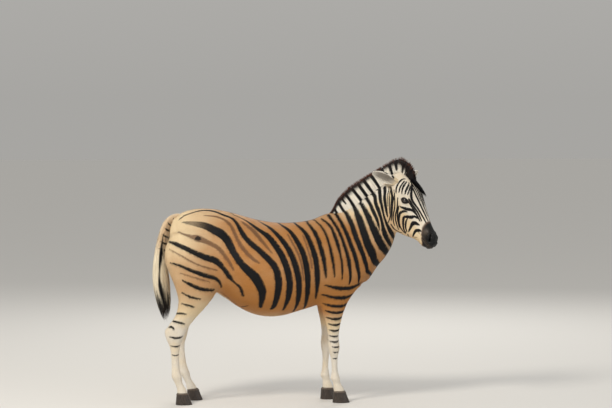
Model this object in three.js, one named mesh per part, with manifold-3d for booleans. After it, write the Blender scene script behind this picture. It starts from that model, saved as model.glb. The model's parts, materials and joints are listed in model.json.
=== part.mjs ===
// A plains zebra mare standing at ease with her head turned to her right, as a life-size museum model.
// Millimetres. She faces +X, her left side is +Y, and her hooves stand on z = 0.
//
// Her flesh is one smooth field, negative inside. It is joined from "sliced forms": rows of oval slices
// along an axis, each slice with its real upper and lower edge and its half width. Swells and hollows of
// muscle and bone are added to it. Each part of the body is a mesh laid on that field, and thin plane
// gaps part one from the next.
import * as THREE from "three";
import { mergeVertices } from "three/addons/utils/BufferGeometryUtils.js";
import Module from "manifold-3d";

const wasm = await Module();
wasm.setup();

// ---------------------------------------------------------------- driving dimensions
const GAP = 0.3; // between parts that meet
const SHORTEST = 0.05; // edges that a cut leaves shorter than this are closed up
const MIDDLE = [-11, -9, 0]; // where the body's middle lies, at floor level, in the drawing below
const TORSO_CELL = [66, 64, 62]; // mesh size on the trunk
const NECK_CELL = [44, 44, 44];
const HEAD_CELL = [29, 29, 29];

const NECK_ROOT = [200, 0, 940]; // where the neck's axis starts, inside the chest
const NECK_PITCH = 45; // degrees the neck rises
const POLL = [674, -96, 1503]; // top of the head's axis, between the ears
const HEAD_LENGTH = 540; // poll to the tip of the lips
const HEAD_PITCH = 56; // degrees the face points below the horizon
const HEAD_YAW = 39; // degrees the face is turned to her right

const EYE_RADIUS = 21.5;
const EYE_AT = [190, 10, 84]; // in the head's frame: along, up, to the side
const EAR_LENGTH = 184;
const EAR_WIDTH = 72;
const EAR_WALL = 6;
const EAR_DEPTH = 0.8; // depth of the cup as part of its width
const EAR_BEND = -8; // how far the tip curls towards the opening
const EAR_ROOT = [42, 8, 70]; // in the head's frame
const EAR_ROOM = 1.2; // between the ear's root and its pit

const HOOF_HEIGHT = 72;
const HOOF_TOE = 27; // how far the toe, heel and walls spread from the coronet to the ground
const HOOF_HEEL = 6;
const HOOF_FLARE = 10;
const HOOF_RIM = 3; // how far the coronet stands out from the pastern

// Where the body is parted
const ELBOW_CUT = 616; // height of the top of the forelegs
const STIFLE_CUT = 672; // height of the top of the hind legs
const CARPUS_CUT = 330; // height under the knee
const HOCK_CUT = 425; // height under the hock
const LOIN_CUT = -470; // x between hindquarters and barrel
const GIRTH_CUT = 60; // x between barrel and shoulders
const NECK_CUT = 250; // along the neck's axis
const THROAT_CUT = [650, -60, 1180]; // a point between the throat and the jaw
const DOCK_END = 330; // along the tail
const MANE_GAP = 1; // between the mane and the crest
const TAIL_GAP = 2; // between the tail and the thighs

// ---------------------------------------------------------------- vectors and frames
const radians = THREE.MathUtils.degToRad;
const clamp = THREE.MathUtils.clamp;
const dot = (a, b) => a[0] * b[0] + a[1] * b[1] + a[2] * b[2];
const minus = (a, b) => [a[0] - b[0], a[1] - b[1], a[2] - b[2]];
const plus = (a, b, s = 1) => [a[0] + s * b[0], a[1] + s * b[1], a[2] + s * b[2]];
const cross = (a, b) => [a[1] * b[2] - a[2] * b[1], a[2] * b[0] - a[0] * b[2], a[0] * b[1] - a[1] * b[0]];
const unit = (a) => a.map((v) => v / Math.hypot(...a));
const lerp = (a, b, t) => a.map((v, k) => v * (1 - t) + b[k] * t);
const mean = (points) => points.reduce((a, b) => plus(a, b)).map((v) => v / points.length);
const circle = (sides) => Array.from({ length: sides }, (_, s) => (2 * Math.PI * s) / sides);
const spread = (count, low, high) => {
  return Array.from({ length: count }, (_, i) => low + ((high - low) * i) / (count - 1));
};

// A frame has an origin and three axes: along the form, up (its upper edge) and to its left side.
function turnedFrame(origin, pitch, yaw) {
  const [sp, cp, sy, cy] = [Math.sin(pitch), Math.cos(pitch), Math.sin(yaw), Math.cos(yaw)];
  return { origin, along: [cp * cy, -cp * sy, sp], up: [-sp * cy, sp * sy, cp], side: [sy, cy, 0] };
}
const toLocal = (f, p) => {
  const d = minus(p, f.origin);
  return [dot(d, f.along), dot(d, f.up), dot(d, f.side)];
};
const turned = (f, [a, u, s]) => plus(plus(f.along.map((v) => v * a), f.up, u), f.side, s);
const toWorld = (f, p) => plus(f.origin, turned(f, p));

const BODY = { origin: [0, 0, 0], along: [1, 0, 0], up: [0, 0, 1], side: [0, 1, 0] };
const LEG = { origin: [0, 0, 0], along: [0, 0, 1], up: [1, 0, 0], side: [0, 1, 0] };
const NECK = turnedFrame(NECK_ROOT, radians(NECK_PITCH), 0);
const HEAD = turnedFrame(POLL, radians(-HEAD_PITCH), radians(HEAD_YAW));

// ---------------------------------------------------------------- sliced forms
// Smooth values between rows of numbers. The first column is the place along the axis.
function smoothRows(rows) {
  const slope = rows.map((row, i) => {
    const before = rows[Math.max(i - 1, 0)];
    const after = rows[Math.min(i + 1, rows.length - 1)];
    return row.map((v, k) => (after[k] - before[k]) / (after[0] - before[0]));
  });
  return (place) => {
    const x = clamp(place, rows[0][0], rows.at(-1)[0]);
    const i = Math.max(rows.findIndex((row) => row[0] >= x), 1);
    const [low, high] = [rows[i - 1], rows[i]];
    const h = high[0] - low[0];
    const t = (x - low[0]) / h;
    const ease = t * t * (3 - 2 * t);
    const [leave, arrive] = [h * t * (1 - t) * (1 - t), -h * t * t * (1 - t)];
    return low.map((v, k) => {
      return v * (1 - ease) + high[k] * ease + slope[i - 1][k] * leave + slope[i][k] * arrive;
    });
  };
}

// Rows: [along, upper edge, lower edge, side, half width, taper]. Taper above 0 narrows the upper half
// and below 0 the lower one. Power 2 is an oval, and more is boxier. The ends are rounded over cap.
function slicedForm(frame, rows, { cap, power = 2 }) {
  const at = smoothRows(rows);
  const [first, last] = [rows[0][0], rows.at(-1)[0]];
  return (p) => {
    const [a, u, s] = toLocal(frame, p);
    const [, top, bottom, side, halfWidth, taper] = at(a);
    const high = (top - bottom) / 2;
    const v = (u - (top + bottom) / 2) / high;
    const wide = halfWidth * (1 - taper * clamp(v, -1.2, 1.2));
    const q = [Math.abs(s - side) / wide, Math.abs(v), Math.abs(a - clamp(a, first, last)) / cap];
    const k = (q[0] ** power + q[1] ** power + q[2] ** power) ** (1 / power);
    if (k < 1e-6) return -Math.min(wide, high);
    const g = q.map((x) => (x / k) ** (power - 1));
    return (k - 1) / Math.hypot(g[0] / wide, g[1] / high, g[2] / cap);
  };
}

// Joins two fields with a fillet of about k.
const blend = (a, b, k) => Math.min(a, b) - Math.max(k - Math.abs(a - b), 0) ** 2 / (4 * k);

// The height of all swells (above 0) and hollows at a point: rows of [place, reach, height] on both sides.
function reliefAt(frame, relief, p) {
  const [a, u, s] = toLocal(frame, p);
  const q = [a, u, Math.abs(s)];
  let sum = 0;
  for (const [at, reach, height] of relief) {
    const away = ((q[0] - at[0]) / reach[0]) ** 2 + ((q[1] - at[1]) / reach[1]) ** 2;
    const all = away + ((q[2] - at[2]) / reach[2]) ** 2;
    if (all < 12) sum += height * Math.exp(-all);
  }
  return sum;
}

// ---------------------------------------------------------------- the forms of her body
// x, back, belly, side, half width, taper
const TRUNK_ROWS = [
  [-800, 1242, 1010, 0, 66, 0.1],
  [-740, 1274, 900, 0, 134, 0.22],
  [-660, 1293, 820, 0, 192, 0.26],
  [-560, 1293, 752, 0, 228, 0.24],
  [-460, 1276, 688, 0, 248, 0.16],
  [-370, 1252, 628, 0, 268, 0.12],
  [-280, 1226, 586, 0, 286, 0.1],
  [-180, 1206, 568, 0, 292, 0.12],
  [-80, 1198, 576, 0, 284, 0.16],
  [20, 1202, 604, 0, 262, 0.22],
  [120, 1219, 634, 0, 236, 0.3],
  [220, 1238, 668, 0, 208, 0.38],
  [320, 1190, 708, 0, 186, 0.34],
  [410, 1080, 760, 0, 156, 0.2],
  [460, 1010, 800, 0, 128, 0.1],
];
// z, front, rear, y, half width, taper
const HIND_ROWS = [
  [80, -722, -795, 120, 32, 0],
  [104, -732, -797, 120, 29, 0],
  [135, -750, -808, 120, 26.5, 0],
  [160, -757, -820, 121, 29, 0],
  [186, -759, -832, 121, 33, 0],
  [215, -768, -832, 121, 28, 0],
  [260, -775, -832, 121, 23.5, 0],
  [340, -776, -836, 122, 24, 0],
  [390, -768, -846, 123, 28, 0],
  [430, -752, -864, 124, 37, 0],
  [470, -738, -876, 125, 41, 0],
  [496, -727, -873, 126, 39, 0.1],
  [530, -704, -846, 128, 38, 0.1],
  [575, -668, -814, 131, 42, 0.1],
  [625, -622, -795, 135, 51, 0.05],
  [680, -576, -786, 138, 65, 0],
  [730, -542, -793, 138, 80, 0],
  [800, -528, -815, 134, 94, 0],
  [870, -520, -844, 128, 104, 0],
  [950, -522, -872, 122, 110, 0],
  [1040, -530, -868, 112, 104, 0],
  [1120, -550, -830, 98, 84, 0],
];
const FORE_ROWS = [
  [80, 304, 226, 96, 33, 0],
  [104, 293, 224, 96, 30, 0],
  [130, 280, 223, 97, 27, 0],
  [160, 275, 208, 98, 32, 0],
  [182, 270, 212, 98, 29, 0],
  [215, 263, 216, 99, 23.5, 0],
  [290, 264, 214, 101, 24, 0],
  [330, 272, 206, 102, 32, 0],
  [368, 280, 198, 103, 38, 0],
  [402, 278, 198, 104, 37, 0],
  [440, 276, 200, 106, 35, 0],
  [500, 284, 192, 110, 40, 0],
  [560, 298, 178, 116, 47, 0],
  [620, 318, 162, 122, 56, 0],
  [680, 346, 148, 128, 64, 0],
  [760, 398, 150, 132, 68, 0],
  [850, 440, 160, 132, 68, 0],
];
// along the neck, crest, throat, side, half width, taper
const NECK_ROWS = [
  [60, 190, -250, 0, 130, 0.3],
  [160, 206, -274, 0, 142, 0.4],
  [240, 196, -276, 0, 132, 0.46],
  [310, 160, -270, -4, 117, 0.46],
  [390, 128, -246, -20, 103, 0.42],
  [465, 116, -204, -42, 92, 0.38],
  [540, 106, -160, -68, 84, 0.34],
  [612, 94, -116, -93, 78, 0.3],
  [680, 64, -64, -110, 66, 0.2],
];
// along the head, face, jaw, side, half width, taper
const HEAD_ROWS = [
  [0, 58, -96, 0, 60, 0.0],
  [50, 78, -150, 0, 78, -0.08],
  [110, 87, -184, 0, 86, -0.18],
  [165, 89, -202, 0, 88, -0.24],
  [220, 80, -212, 0, 83, -0.2],
  [275, 69, -208, 0, 75, -0.1],
  [325, 59, -188, 0, 66, 0.0],
  [370, 50, -156, 0, 57, 0.08],
  [415, 42, -116, 0, 52, 0.04],
  [455, 38, -96, 0, 51, -0.08],
  [490, 33, -86, 0, 50, -0.14],
  [514, 18, -72, 0, 43, -0.12],
];
const HEAD_RELIEF = [
  [[166, 46, 92], [46, 24, 30], 17], // brow over the eye
  [[198, -26, 86], [40, 16, 22], 7], // cheekbone under the eye
  [[128, 46, 62], [26, 18, 22], -7], // hollow of the temple
  [[280, -22, 64], [70, 12, 20], 6], // facial crest
  [[170, -104, 60], [74, 62, 26], 12], // cheek muscle
  [[300, 26, 50], [60, 24, 22], -5], // side of the nose
  [[330, -74, 50], [60, 24, 22], -7], // behind the corner of the mouth
  [[478, 16, 50], [34, 24, 22], 9], // nostril's flare
  [[430, -10, 50], [22, 36, 20], -3], // in front of the cheek
  [[516, -18, 28], [24, 22, 34], 6], // upper lip
  [[470, -72, 0], [30, 18, 30], 9], // chin
];
const BODY_RELIEF = [
  [[250, 900, 190], [120, 150, 60], 12], // shoulder
  [[430, 900, 120], [60, 70, 60], 20], // point of the shoulder
  [[190, 770, 175], [70, 60, 50], 12], // triceps over the elbow
  [[330, 1060, 150], [60, 90, 60], -8], // in front of the shoulder blade
  [[60, 1120, 190], [70, 70, 90], -6], // behind the withers
  [[-500, 1165, 190], [60, 60, 60], 12], // point of the hip
  [[-440, 1080, 240], [60, 90, 60], -14], // hollow of the flank
  [[-560, 780, 200], [60, 60, 50], 8], // stifle
  [[-700, 1120, 180], [110, 90, 80], 8], // rump
  [[-845, 1180, 0], [50, 90, 46], -8], // under the tail's root
];
const LEG_FILLET = 56;
const NECK_FILLET = 70;
const HEAD_FILLET = 50;

// Each leg steps forward by its stride at the hoof, easing to nothing at the height where it joins her.
const HIND = { rows: HIND_ROWS, joins: 760, cut: STIFLE_CUT, joint: HOCK_CUT, room: [-960, -500] };
const FORE = { rows: FORE_ROWS, joins: 700, cut: ELBOW_CUT, joint: CARPUS_CUT, room: [110, 420] };
const LEGS = [
  { name: "right_hind", hand: -1, stride: 0, ...HIND },
  { name: "left_hind", hand: 1, stride: 80, ...HIND },
  { name: "right_fore", hand: -1, stride: 24, ...FORE },
  { name: "left_fore", hand: 1, stride: -40, ...FORE },
];
const strideAt = (leg, z) => leg.stride * clamp(1 - z / leg.joins, 0, 1);
function legForm(leg) {
  const placed = leg.rows.map(([z, front, rear, y, half, taper]) => {
    const step = strideAt(leg, z);
    return [z, front + step, rear + step, leg.hand * y, half, taper];
  });
  return slicedForm(LEG, placed, { cap: 30 });
}

const trunkForm = slicedForm(BODY, TRUNK_ROWS, { cap: 46 });
const neckForm = slicedForm(NECK, NECK_ROWS, { cap: 30 });
const headForm = slicedForm(HEAD, HEAD_ROWS, { cap: 28, power: 2.5 });
const legForms = LEGS.map(legForm);

function fleshField(p) {
  let d = trunkForm(p);
  for (const form of legForms) d = blend(d, form(p), LEG_FILLET);
  d = blend(d, neckForm(p), NECK_FILLET) - reliefAt(BODY, BODY_RELIEF, p);
  return blend(d, headForm(p) - reliefAt(HEAD, HEAD_RELIEF, p), HEAD_FILLET);
}

// ---------------------------------------------------------------- solids and meshes
function solidOf(points, triangles) {
  const vertProperties = new Float32Array(points.flat());
  const make = (faces) => {
    const mesh = new wasm.Mesh({ numProp: 3, vertProperties, triVerts: new Uint32Array(faces.flat()) });
    return new wasm.Manifold(mesh);
  };
  const solid = make(triangles);
  return solid.volume() < 0 ? make(triangles.map(([a, b, c]) => [a, c, b])) : solid;
}
function solidFrom(geometry) {
  const bare = geometry.clone();
  for (const name of ["normal", "uv"]) bare.deleteAttribute(name);
  const merged = mergeVertices(bare, 1e-3);
  const vertProperties = merged.attributes.position.array;
  const triVerts = new Uint32Array(merged.index.array);
  return new wasm.Manifold(new wasm.Mesh({ numProp: 3, vertProperties, triVerts }));
}
function rawGeometry(solid) {
  const { vertProperties, triVerts } = solid.getMesh();
  const geometry = new THREE.BufferGeometry();
  geometry.setAttribute("position", new THREE.BufferAttribute(new Float32Array(vertProperties), 3));
  geometry.setIndex(new THREE.BufferAttribute(new Uint32Array(triVerts), 1));
  return geometry;
}
// A copy of a solid with every vertex moved out.
function swollen(solid, by) {
  const geometry = rawGeometry(solid);
  geometry.computeVertexNormals();
  const normal = geometry.attributes.normal.array;
  const vertProperties = geometry.attributes.position.array.map((v, i) => v + by * normal[i]);
  const triVerts = geometry.index.array;
  return new wasm.Manifold(new wasm.Mesh({ numProp: 3, vertProperties, triVerts }));
}

// A large block that fills everything in front of a plane, from half the gap on.
function blockBeyond(point, normal, gap) {
  const size = 4000;
  const block = new THREE.BoxGeometry(size, size, size);
  block.translate(0, 0, size / 2 + gap / 2);
  const ahead = new THREE.Vector3(...unit(normal));
  block.applyQuaternion(new THREE.Quaternion().setFromUnitVectors(new THREE.Vector3(0, 0, 1), ahead));
  block.translate(...point);
  return solidFrom(block);
}
const inFrontOf = (solid, [point, normal], gap = GAP) => solid.intersect(blockBeyond(point, normal, gap));
const behind = (solid, [point, normal], gap = GAP) => inFrontOf(solid, [point, normal.map((v) => -v)], gap);

// A closed solid over a stack of rings with equal sides, with a fan over each end.
function closedRings(points, sides) {
  const triangles = [];
  const last = points.length - sides;
  const [firstHub, lastHub] = [points.length, points.length + 1];
  for (let s = 0; s < sides; s++) {
    const t = (s + 1) % sides;
    for (let r = 0; r < last; r += sides) {
      triangles.push([r + s, r + t, r + sides + t], [r + s, r + sides + t, r + sides + s]);
    }
    triangles.push([firstHub, t, s], [lastHub, last + s, last + t]);
  }
  return solidOf([...points, mean(points.slice(0, sides)), mean(points.slice(last))], triangles);
}

// ---------------------------------------------------------------- laying meshes on the field
function slopeOf(field, p) {
  const step = 0.5;
  return [0, 1, 2].map((k) => {
    const [ahead, back] = [p.slice(), p.slice()];
    ahead[k] += step;
    back[k] -= step;
    return (field(ahead) - field(back)) / (2 * step);
  });
}
function settle(field, p) {
  for (let i = 0; i < 4; i++) {
    const slope = slopeOf(field, p);
    p = plus(p, slope, -field(p) / Math.max(dot(slope, slope), 0.04));
  }
  return p;
}

// The low and high corner of the world box that holds a box of a frame.
function boxRound(frame, low, high) {
  const corners = [];
  for (const a of [low[0], high[0]])
    for (const u of [low[1], high[1]])
      for (const s of [low[2], high[2]]) corners.push(toWorld(frame, [a, u, s]));
  return [Math.min, Math.max].map((pick) => [0, 1, 2].map((k) => pick(...corners.map((c) => c[k]))));
}

// A closed mesh of quads with one vertex in each grid cell that the surface crosses, moved onto the
// surface. The mesh ends flat one and a half cells inside the box.
function netMesh(field, [low, high], cell) {
  const count = [0, 1, 2].map((k) => Math.ceil((high[k] - low[k]) / cell[k]) + 1);
  const place = (q) => q.map((i, k) => low[k] + i * cell[k]);
  const outside = (p) => Math.max(...p.map((v, k) => 1.5 * cell[k] + Math.max(low[k] - v, v - high[k])));
  const index = ([i, j, k]) => (i * count[1] + j) * count[2] + k;
  const step = (q, axis, by = 1) => q.map((v, k) => (k === axis ? v + by : v));
  const cells = [];
  for (let i = 0; i < count[0]; i++)
    for (let j = 0; j < count[1]; j++) for (let k = 0; k < count[2]; k++) cells.push([i, j, k]);
  const value = cells.map(place).map((p) => Math.max(field(p), outside(p)));
  // Where only two diagonal corners of a cell's face are inside, a third is taken in, or two sheets of the
  // surface would share an edge.
  for (const q of cells)
    for (let axis = 0; axis < 3; axis++) {
      const [b, c] = [(axis + 1) % 3, (axis + 2) % 3];
      if (q[b] + 1 === count[b] || q[c] + 1 === count[c]) continue;
      const face = [q, step(q, b), step(step(q, b), c), step(q, c)].map(index);
      const [first, second, third, fourth] = face.map((i) => value[i] < 0);
      if (first !== third || second !== fourth || first === second) continue;
      const outer = face.filter((i) => value[i] >= 0).sort((i, j) => value[i] - value[j]);
      value[outer[0]] = -1;
    }

  const points = [];
  const vertices = new Map();
  function vertexIn(q) {
    if (vertices.has(index(q))) return vertices.get(index(q));
    const crossings = [];
    for (let edge = 0; edge < 12; edge++) {
      const axis = edge >> 2;
      const from = step(step(q, (axis + 1) % 3, edge & 1), (axis + 2) % 3, (edge >> 1) & 1);
      const to = step(from, axis);
      const [v, w] = [value[index(from)], value[index(to)]];
      if (v < 0 !== w < 0) crossings.push(lerp(place(from), place(to), v / (v - w)));
    }
    const middle = mean(crossings);
    const onField = field(middle) >= outside(middle) ? settle(field, middle) : middle;
    const moved = Math.hypot(...minus(onField, middle));
    vertices.set(index(q), points.length);
    points.push(moved < cell[0] ? onField : middle);
    return points.length - 1;
  }
  const triangles = [];
  for (const q of cells) {
    if (q.some((v, k) => v < 1 || v > count[k] - 2)) continue;
    for (let axis = 0; axis < 3; axis++) {
      const inside = value[index(q)] < 0;
      if (inside === value[index(step(q, axis))] < 0) continue;
      const [b, c] = [(axis + 1) % 3, (axis + 2) % 3];
      const ring = [step(step(q, b, -1), c, -1), step(q, c, -1), q, step(q, b, -1)].map(vertexIn);
      if (!inside) ring.reverse();
      triangles.push([ring[0], ring[1], ring[2]], [ring[0], ring[2], ring[3]]);
    }
  }
  return solidOf(points, triangles);
}

// A closed tube round upright stations: each ring's points lie where the field ends, within reach.
function ringMesh(field, centres, sides, reach) {
  const points = [];
  for (const centre of centres)
    for (const turn of circle(sides)) {
      const at = (r) => plus(centre, [Math.cos(turn), Math.sin(turn), 0], r);
      let outside = 3;
      while (outside < reach && field(at(outside)) < 0) outside += 3;
      let inside = outside - 3;
      for (let i = 0; i < 12; i++) {
        const middle = (inside + outside) / 2;
        if (field(at(middle)) > 0) outside = middle;
        else inside = middle;
      }
      points.push(at(outside));
    }
  return closedRings(points, sides);
}

// ---------------------------------------------------------------- materials and nodes
const paint = (color, roughness) => new THREE.MeshStandardMaterial({ color, roughness, metalness: 0 });
const COAT = paint("#cdb08a", 0.85);
const MANE = paint("#4a3328", 0.9);
const TAIL = paint("#d9cbb4", 0.9);
const EAR = paint("#e6dccb", 0.9);
const EYE = paint("#140d08", 0.12);
const HOOF = paint("#2b2622", 0.55);

const zebra = new THREE.Group();
zebra.position.set(...MIDDLE.map((v) => -v));
function add(name, solid, material) {
  const pieces = solid.simplify(SHORTEST).decompose().sort((a, b) => b.volume() - a.volume());
  const mesh = new THREE.Mesh(rawGeometry(pieces[0]), material);
  mesh.name = name;
  zebra.add(mesh);
}

// ---------------------------------------------------------------- trunk and neck
const NECK_PLANE = [toWorld(NECK, [NECK_CUT, 0, 0]), NECK.along];
const POLL_PLANE = [THROAT_CUT, unit([1, -0.35, 0.14])];
const LOIN_PLANE = [[LOIN_CUT, 0, 0], BODY.along];
const GIRTH_PLANE = [[GIRTH_CUT, 0, 0], BODY.along];
const torsoNet = netMesh(fleshField, [[-1020, -430, 420], [700, 430, 1450]], TORSO_CELL);
const neckNet = netMesh(fleshField, [[170, -280, 820], [820, 220, 1620]], NECK_CELL);
const headRoom = boxRound(HEAD, [-96, -260, -150], [HEAD_LENGTH + 50, 150, 150]);
const headNet = netMesh(fleshField, headRoom, HEAD_CELL);

function torsoSolid() {
  let torso = behind(torsoNet, NECK_PLANE);
  for (const { hand, cut, room } of LEGS) {
    const [wide, high] = [364, 600];
    const box = new THREE.BoxGeometry(room[1] - room[0], wide, high);
    box.translate((room[0] + room[1]) / 2, hand * (wide / 2 + 6), cut + GAP / 2 - high / 2);
    torso = torso.subtract(solidFrom(box));
  }
  return torso;
}
const torso = torsoSolid();
add("hindquarters", behind(torso, LOIN_PLANE), COAT);
add("barrel", behind(inFrontOf(torso, LOIN_PLANE), GIRTH_PLANE), COAT);
add("shoulders", inFrontOf(torso, GIRTH_PLANE), COAT);
add("neck", behind(inFrontOf(neckNet, NECK_PLANE), POLL_PLANE), COAT);

// ---------------------------------------------------------------- legs and hooves
const RING_STEP = 31; // between the rings of a leg's mesh
const LEG_SIDES = 12;
const UPPER_REACH = 150; // farthest that an upper leg's surface lies from its axis
const LOWER_REACH = 80;
function legStations(leg, low, high) {
  const count = Math.round((high - low) / RING_STEP) + 1;
  return spread(count, low, high).map((z) => {
    const [, front, rear, y] = smoothRows(leg.rows)(z);
    return [(front + rear) / 2 + strideAt(leg, z), leg.hand * y, z];
  });
}
// Height, and how far the ring there has spread
const HOOF_RINGS = [[0, 1], [HOOF_HEIGHT / 2, 0.46], [HOOF_HEIGHT * 0.86, 0.1], [HOOF_HEIGHT - GAP / 2, 0]];
function hoofSolid(leg) {
  const [, front, rear, y, half] = leg.rows[0];
  const points = [];
  for (const [z, grow] of HOOF_RINGS)
    for (const turn of circle(16)) {
      const toe = front + leg.stride + HOOF_RIM + HOOF_TOE * grow;
      const heel = rear + leg.stride - HOOF_RIM - HOOF_HEEL * grow;
      const blunt = Math.sign(Math.cos(turn)) * Math.abs(Math.cos(turn)) ** 0.8;
      const across = (half + HOOF_RIM + HOOF_FLARE * grow) * Math.sin(turn);
      points.push([(toe + heel) / 2 + ((toe - heel) / 2) * blunt, leg.hand * y + across, z]);
    }
  return closedRings(points, 16);
}
for (const leg of LEGS) {
  const upper = legStations(leg, leg.joint + GAP / 2, leg.cut - GAP / 2);
  const lower = legStations(leg, HOOF_HEIGHT + GAP / 2, leg.joint - GAP / 2);
  add(`${leg.name}_upper_leg`, ringMesh(fleshField, upper, LEG_SIDES, UPPER_REACH), COAT);
  add(`${leg.name}_lower_leg`, ringMesh(fleshField, lower, LEG_SIDES, LOWER_REACH), COAT);
  add(`${leg.name}_hoof`, hoofSolid(leg), HOOF);
}

// ---------------------------------------------------------------- head, ears and eyes
// An ear is a cup: an outer arc and an inner one, wrapped into a tube at the root and open above.
// Rows: part of the length, half width as part of EAR_WIDTH, half wrap in degrees, how hollow
const EAR_ROWS = [
  [-0.14, 0.3, 150, 0],
  [0.0, 0.34, 150, 0],
  [0.1, 0.42, 135, 0.5],
  [0.24, 0.5, 118, 1],
  [0.42, 0.53, 104, 1],
  [0.6, 0.5, 92, 1],
  [0.76, 0.4, 84, 1],
  [0.89, 0.25, 80, 1],
  [0.97, 0.11, 80, 0.8],
];
// The way each ear points and the way its cup opens, in the head's frame
const EARS = [
  { name: "right", hand: -1, points: [-0.59, -0.28, -0.75], opens: [0.83, 0.19, -0.53] },
  { name: "left", hand: 1, points: [-0.25, 0.17, 0.95], opens: [0.72, 0.5, 0.3] },
];
// Where a ring of the ear lies: a function from places across and towards the opening to a point.
function earRing(ear, t) {
  const along = unit(turned(HEAD, ear.points));
  const facing = turned(HEAD, ear.opens);
  const open = unit(plus(facing, along, -dot(facing, along)));
  const side = cross(along, open);
  const root = toWorld(HEAD, [EAR_ROOT[0], EAR_ROOT[1], ear.hand * EAR_ROOT[2]]);
  const centre = plus(plus(root, along, t * EAR_LENGTH), open, EAR_BEND * t * t);
  return (across, deep) => plus(plus(centre, side, across), open, deep * EAR_DEPTH);
}
function earSolid(ear) {
  const steps = 7;
  const points = [];
  for (const [t, width, wrap, hollow] of EAR_ROWS) {
    const at = earRing(ear, t);
    const radius = width * EAR_WIDTH;
    const inner = Math.max(radius - EAR_WALL, radius * 0.4);
    const turns = spread(steps, -radians(wrap), radians(wrap));
    for (const turn of turns) points.push(at(radius * Math.sin(turn), -radius * Math.cos(turn)));
    for (const turn of turns.reverse()) {
      const cup = at(inner * Math.sin(turn * 0.97), -inner * Math.cos(turn * 0.97));
      const flat = at(0.9 * inner * Math.sin(turn), -radius * Math.cos(radians(wrap)));
      points.push(lerp(flat, cup, hollow));
    }
  }
  return closedRings(points, 2 * steps);
}
// The pit in the head that the ear's root stands in
function earPit(ear) {
  const sides = 20;
  const points = EAR_ROWS.slice(0, 4).flatMap(([t, width], row) => {
    const at = earRing(ear, row ? t : t - EAR_ROOM / EAR_LENGTH);
    const radius = width * EAR_WIDTH + EAR_ROOM;
    return circle(sides).map((turn) => at(radius * Math.sin(turn), -radius * Math.cos(turn)));
  });
  return closedRings(points, sides);
}
function eyeBall(hand, radius) {
  const ball = new THREE.SphereGeometry(radius, 12, 8);
  ball.translate(...toWorld(HEAD, [EYE_AT[0], EYE_AT[1], hand * EYE_AT[2]]));
  return solidFrom(ball);
}
let head = inFrontOf(headNet, POLL_PLANE);
for (const ear of EARS) {
  head = head.subtract(eyeBall(ear.hand, EYE_RADIUS + GAP)).subtract(earPit(ear));
  add(`${ear.name}_ear`, earSolid(ear), EAR);
  add(`${ear.name}_eye`, eyeBall(ear.hand, EYE_RADIUS), EYE);
}
add("head", head, COAT);

// ---------------------------------------------------------------- mane and tail
// The mane's fin: place, root x and z, tip x and z, y of the root and the tip, half thickness
const MANE_ROWS = [
  [0, 222, 1205, 215, 1242, 0, 0, 12],
  [60, 262, 1215, 244, 1281, 0, 0, 18],
  [140, 322, 1240, 285, 1362, -2, -2, 22],
  [240, 404, 1270, 360, 1444, -8, -8, 24],
  [330, 470, 1330, 441, 1498, -22, -22, 26],
  [410, 530, 1390, 509, 1539, -42, -42, 27],
  [480, 585, 1425, 577, 1582, -64, -64, 27],
  [550, 640, 1455, 645, 1626, -86, -88, 27],
  [600, 690, 1470, 695, 1643, -104, -112, 27],
  [650, 720, 1465, 740, 1619, -128, -144, 27],
  [700, 738, 1445, 773, 1572, -146, -172, 26],
  [750, 748, 1425, 788, 1523, -154, -184, 24],
  [790, 752, 1410, 794, 1474, -160, -190, 18],
];
// The outline of the fin's slice: part of the way from root to tip, part of the half thickness
const MANE_SLICE = [[0, -1], [0.5, -0.95], [0.9, -0.6], [1, 0], [0.9, 0.6], [0.5, 0.95], [0, 1]];
function maneSolid() {
  const at = smoothRows(MANE_ROWS);
  const points = spread(17, MANE_ROWS[0][0], MANE_ROWS.at(-1)[0]).flatMap((place) => {
    const [, x, z, tipX, tipZ, y, tipY, half] = at(place);
    const [before, after] = [at(place - 5), at(place + 5)];
    const side = unit([before[5] - after[5], after[1] - before[1], 0]);
    return MANE_SLICE.map(([rise, out]) => plus(lerp([x, y, z], [tipX, tipY, tipZ], rise), side, out * half));
  });
  return closedRings(points, MANE_SLICE.length);
}
const wholeFlesh = behind(torsoNet, NECK_PLANE, 0)
  .add(behind(inFrontOf(neckNet, NECK_PLANE, 0), POLL_PLANE, 0))
  .add(inFrontOf(headNet, POLL_PLANE, 0));
add("mane", maneSolid().subtract(swollen(wholeFlesh, MANE_GAP)), MANE);

// The hanging tail: place, x, z, radius
const TAIL_ROWS = [
  [0, -790, 1240, 24],
  [70, -848, 1200, 27],
  [150, -878, 1130, 29],
  [230, -898, 1050, 31],
  [330, -910, 950, 36],
  [430, -911, 850, 41],
  [530, -902, 750, 41],
  [630, -885, 650, 33],
  [700, -872, 580, 21],
  [745, -865, 533, 7],
];
const TAIL_STEP = 36; // between the rings of the tail's mesh
function tailSolid(from, to) {
  const at = smoothRows(TAIL_ROWS);
  const sides = 12;
  const places = spread(Math.round((to - from) / TAIL_STEP) + 1, from, to);
  const points = places.flatMap((place) => {
    const [, x, z, radius] = at(place);
    const [before, after] = [at(place - 4), at(place + 4)];
    const across = unit([after[2] - before[2], 0, before[1] - after[1]]);
    return circle(sides).map((turn) => {
      return plus([x, 0.9 * radius * Math.sin(turn), z], across, radius * Math.cos(turn));
    });
  });
  return closedRings(points, sides);
}
const rump = swollen(torsoNet, TAIL_GAP);
add("tail_dock", tailSolid(TAIL_ROWS[0][0], DOCK_END - GAP / 2).subtract(rump), TAIL);
add("tail_switch", tailSolid(DOCK_END + GAP / 2, TAIL_ROWS.at(-1)[0]).subtract(rump), TAIL);

export default zebra;
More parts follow.
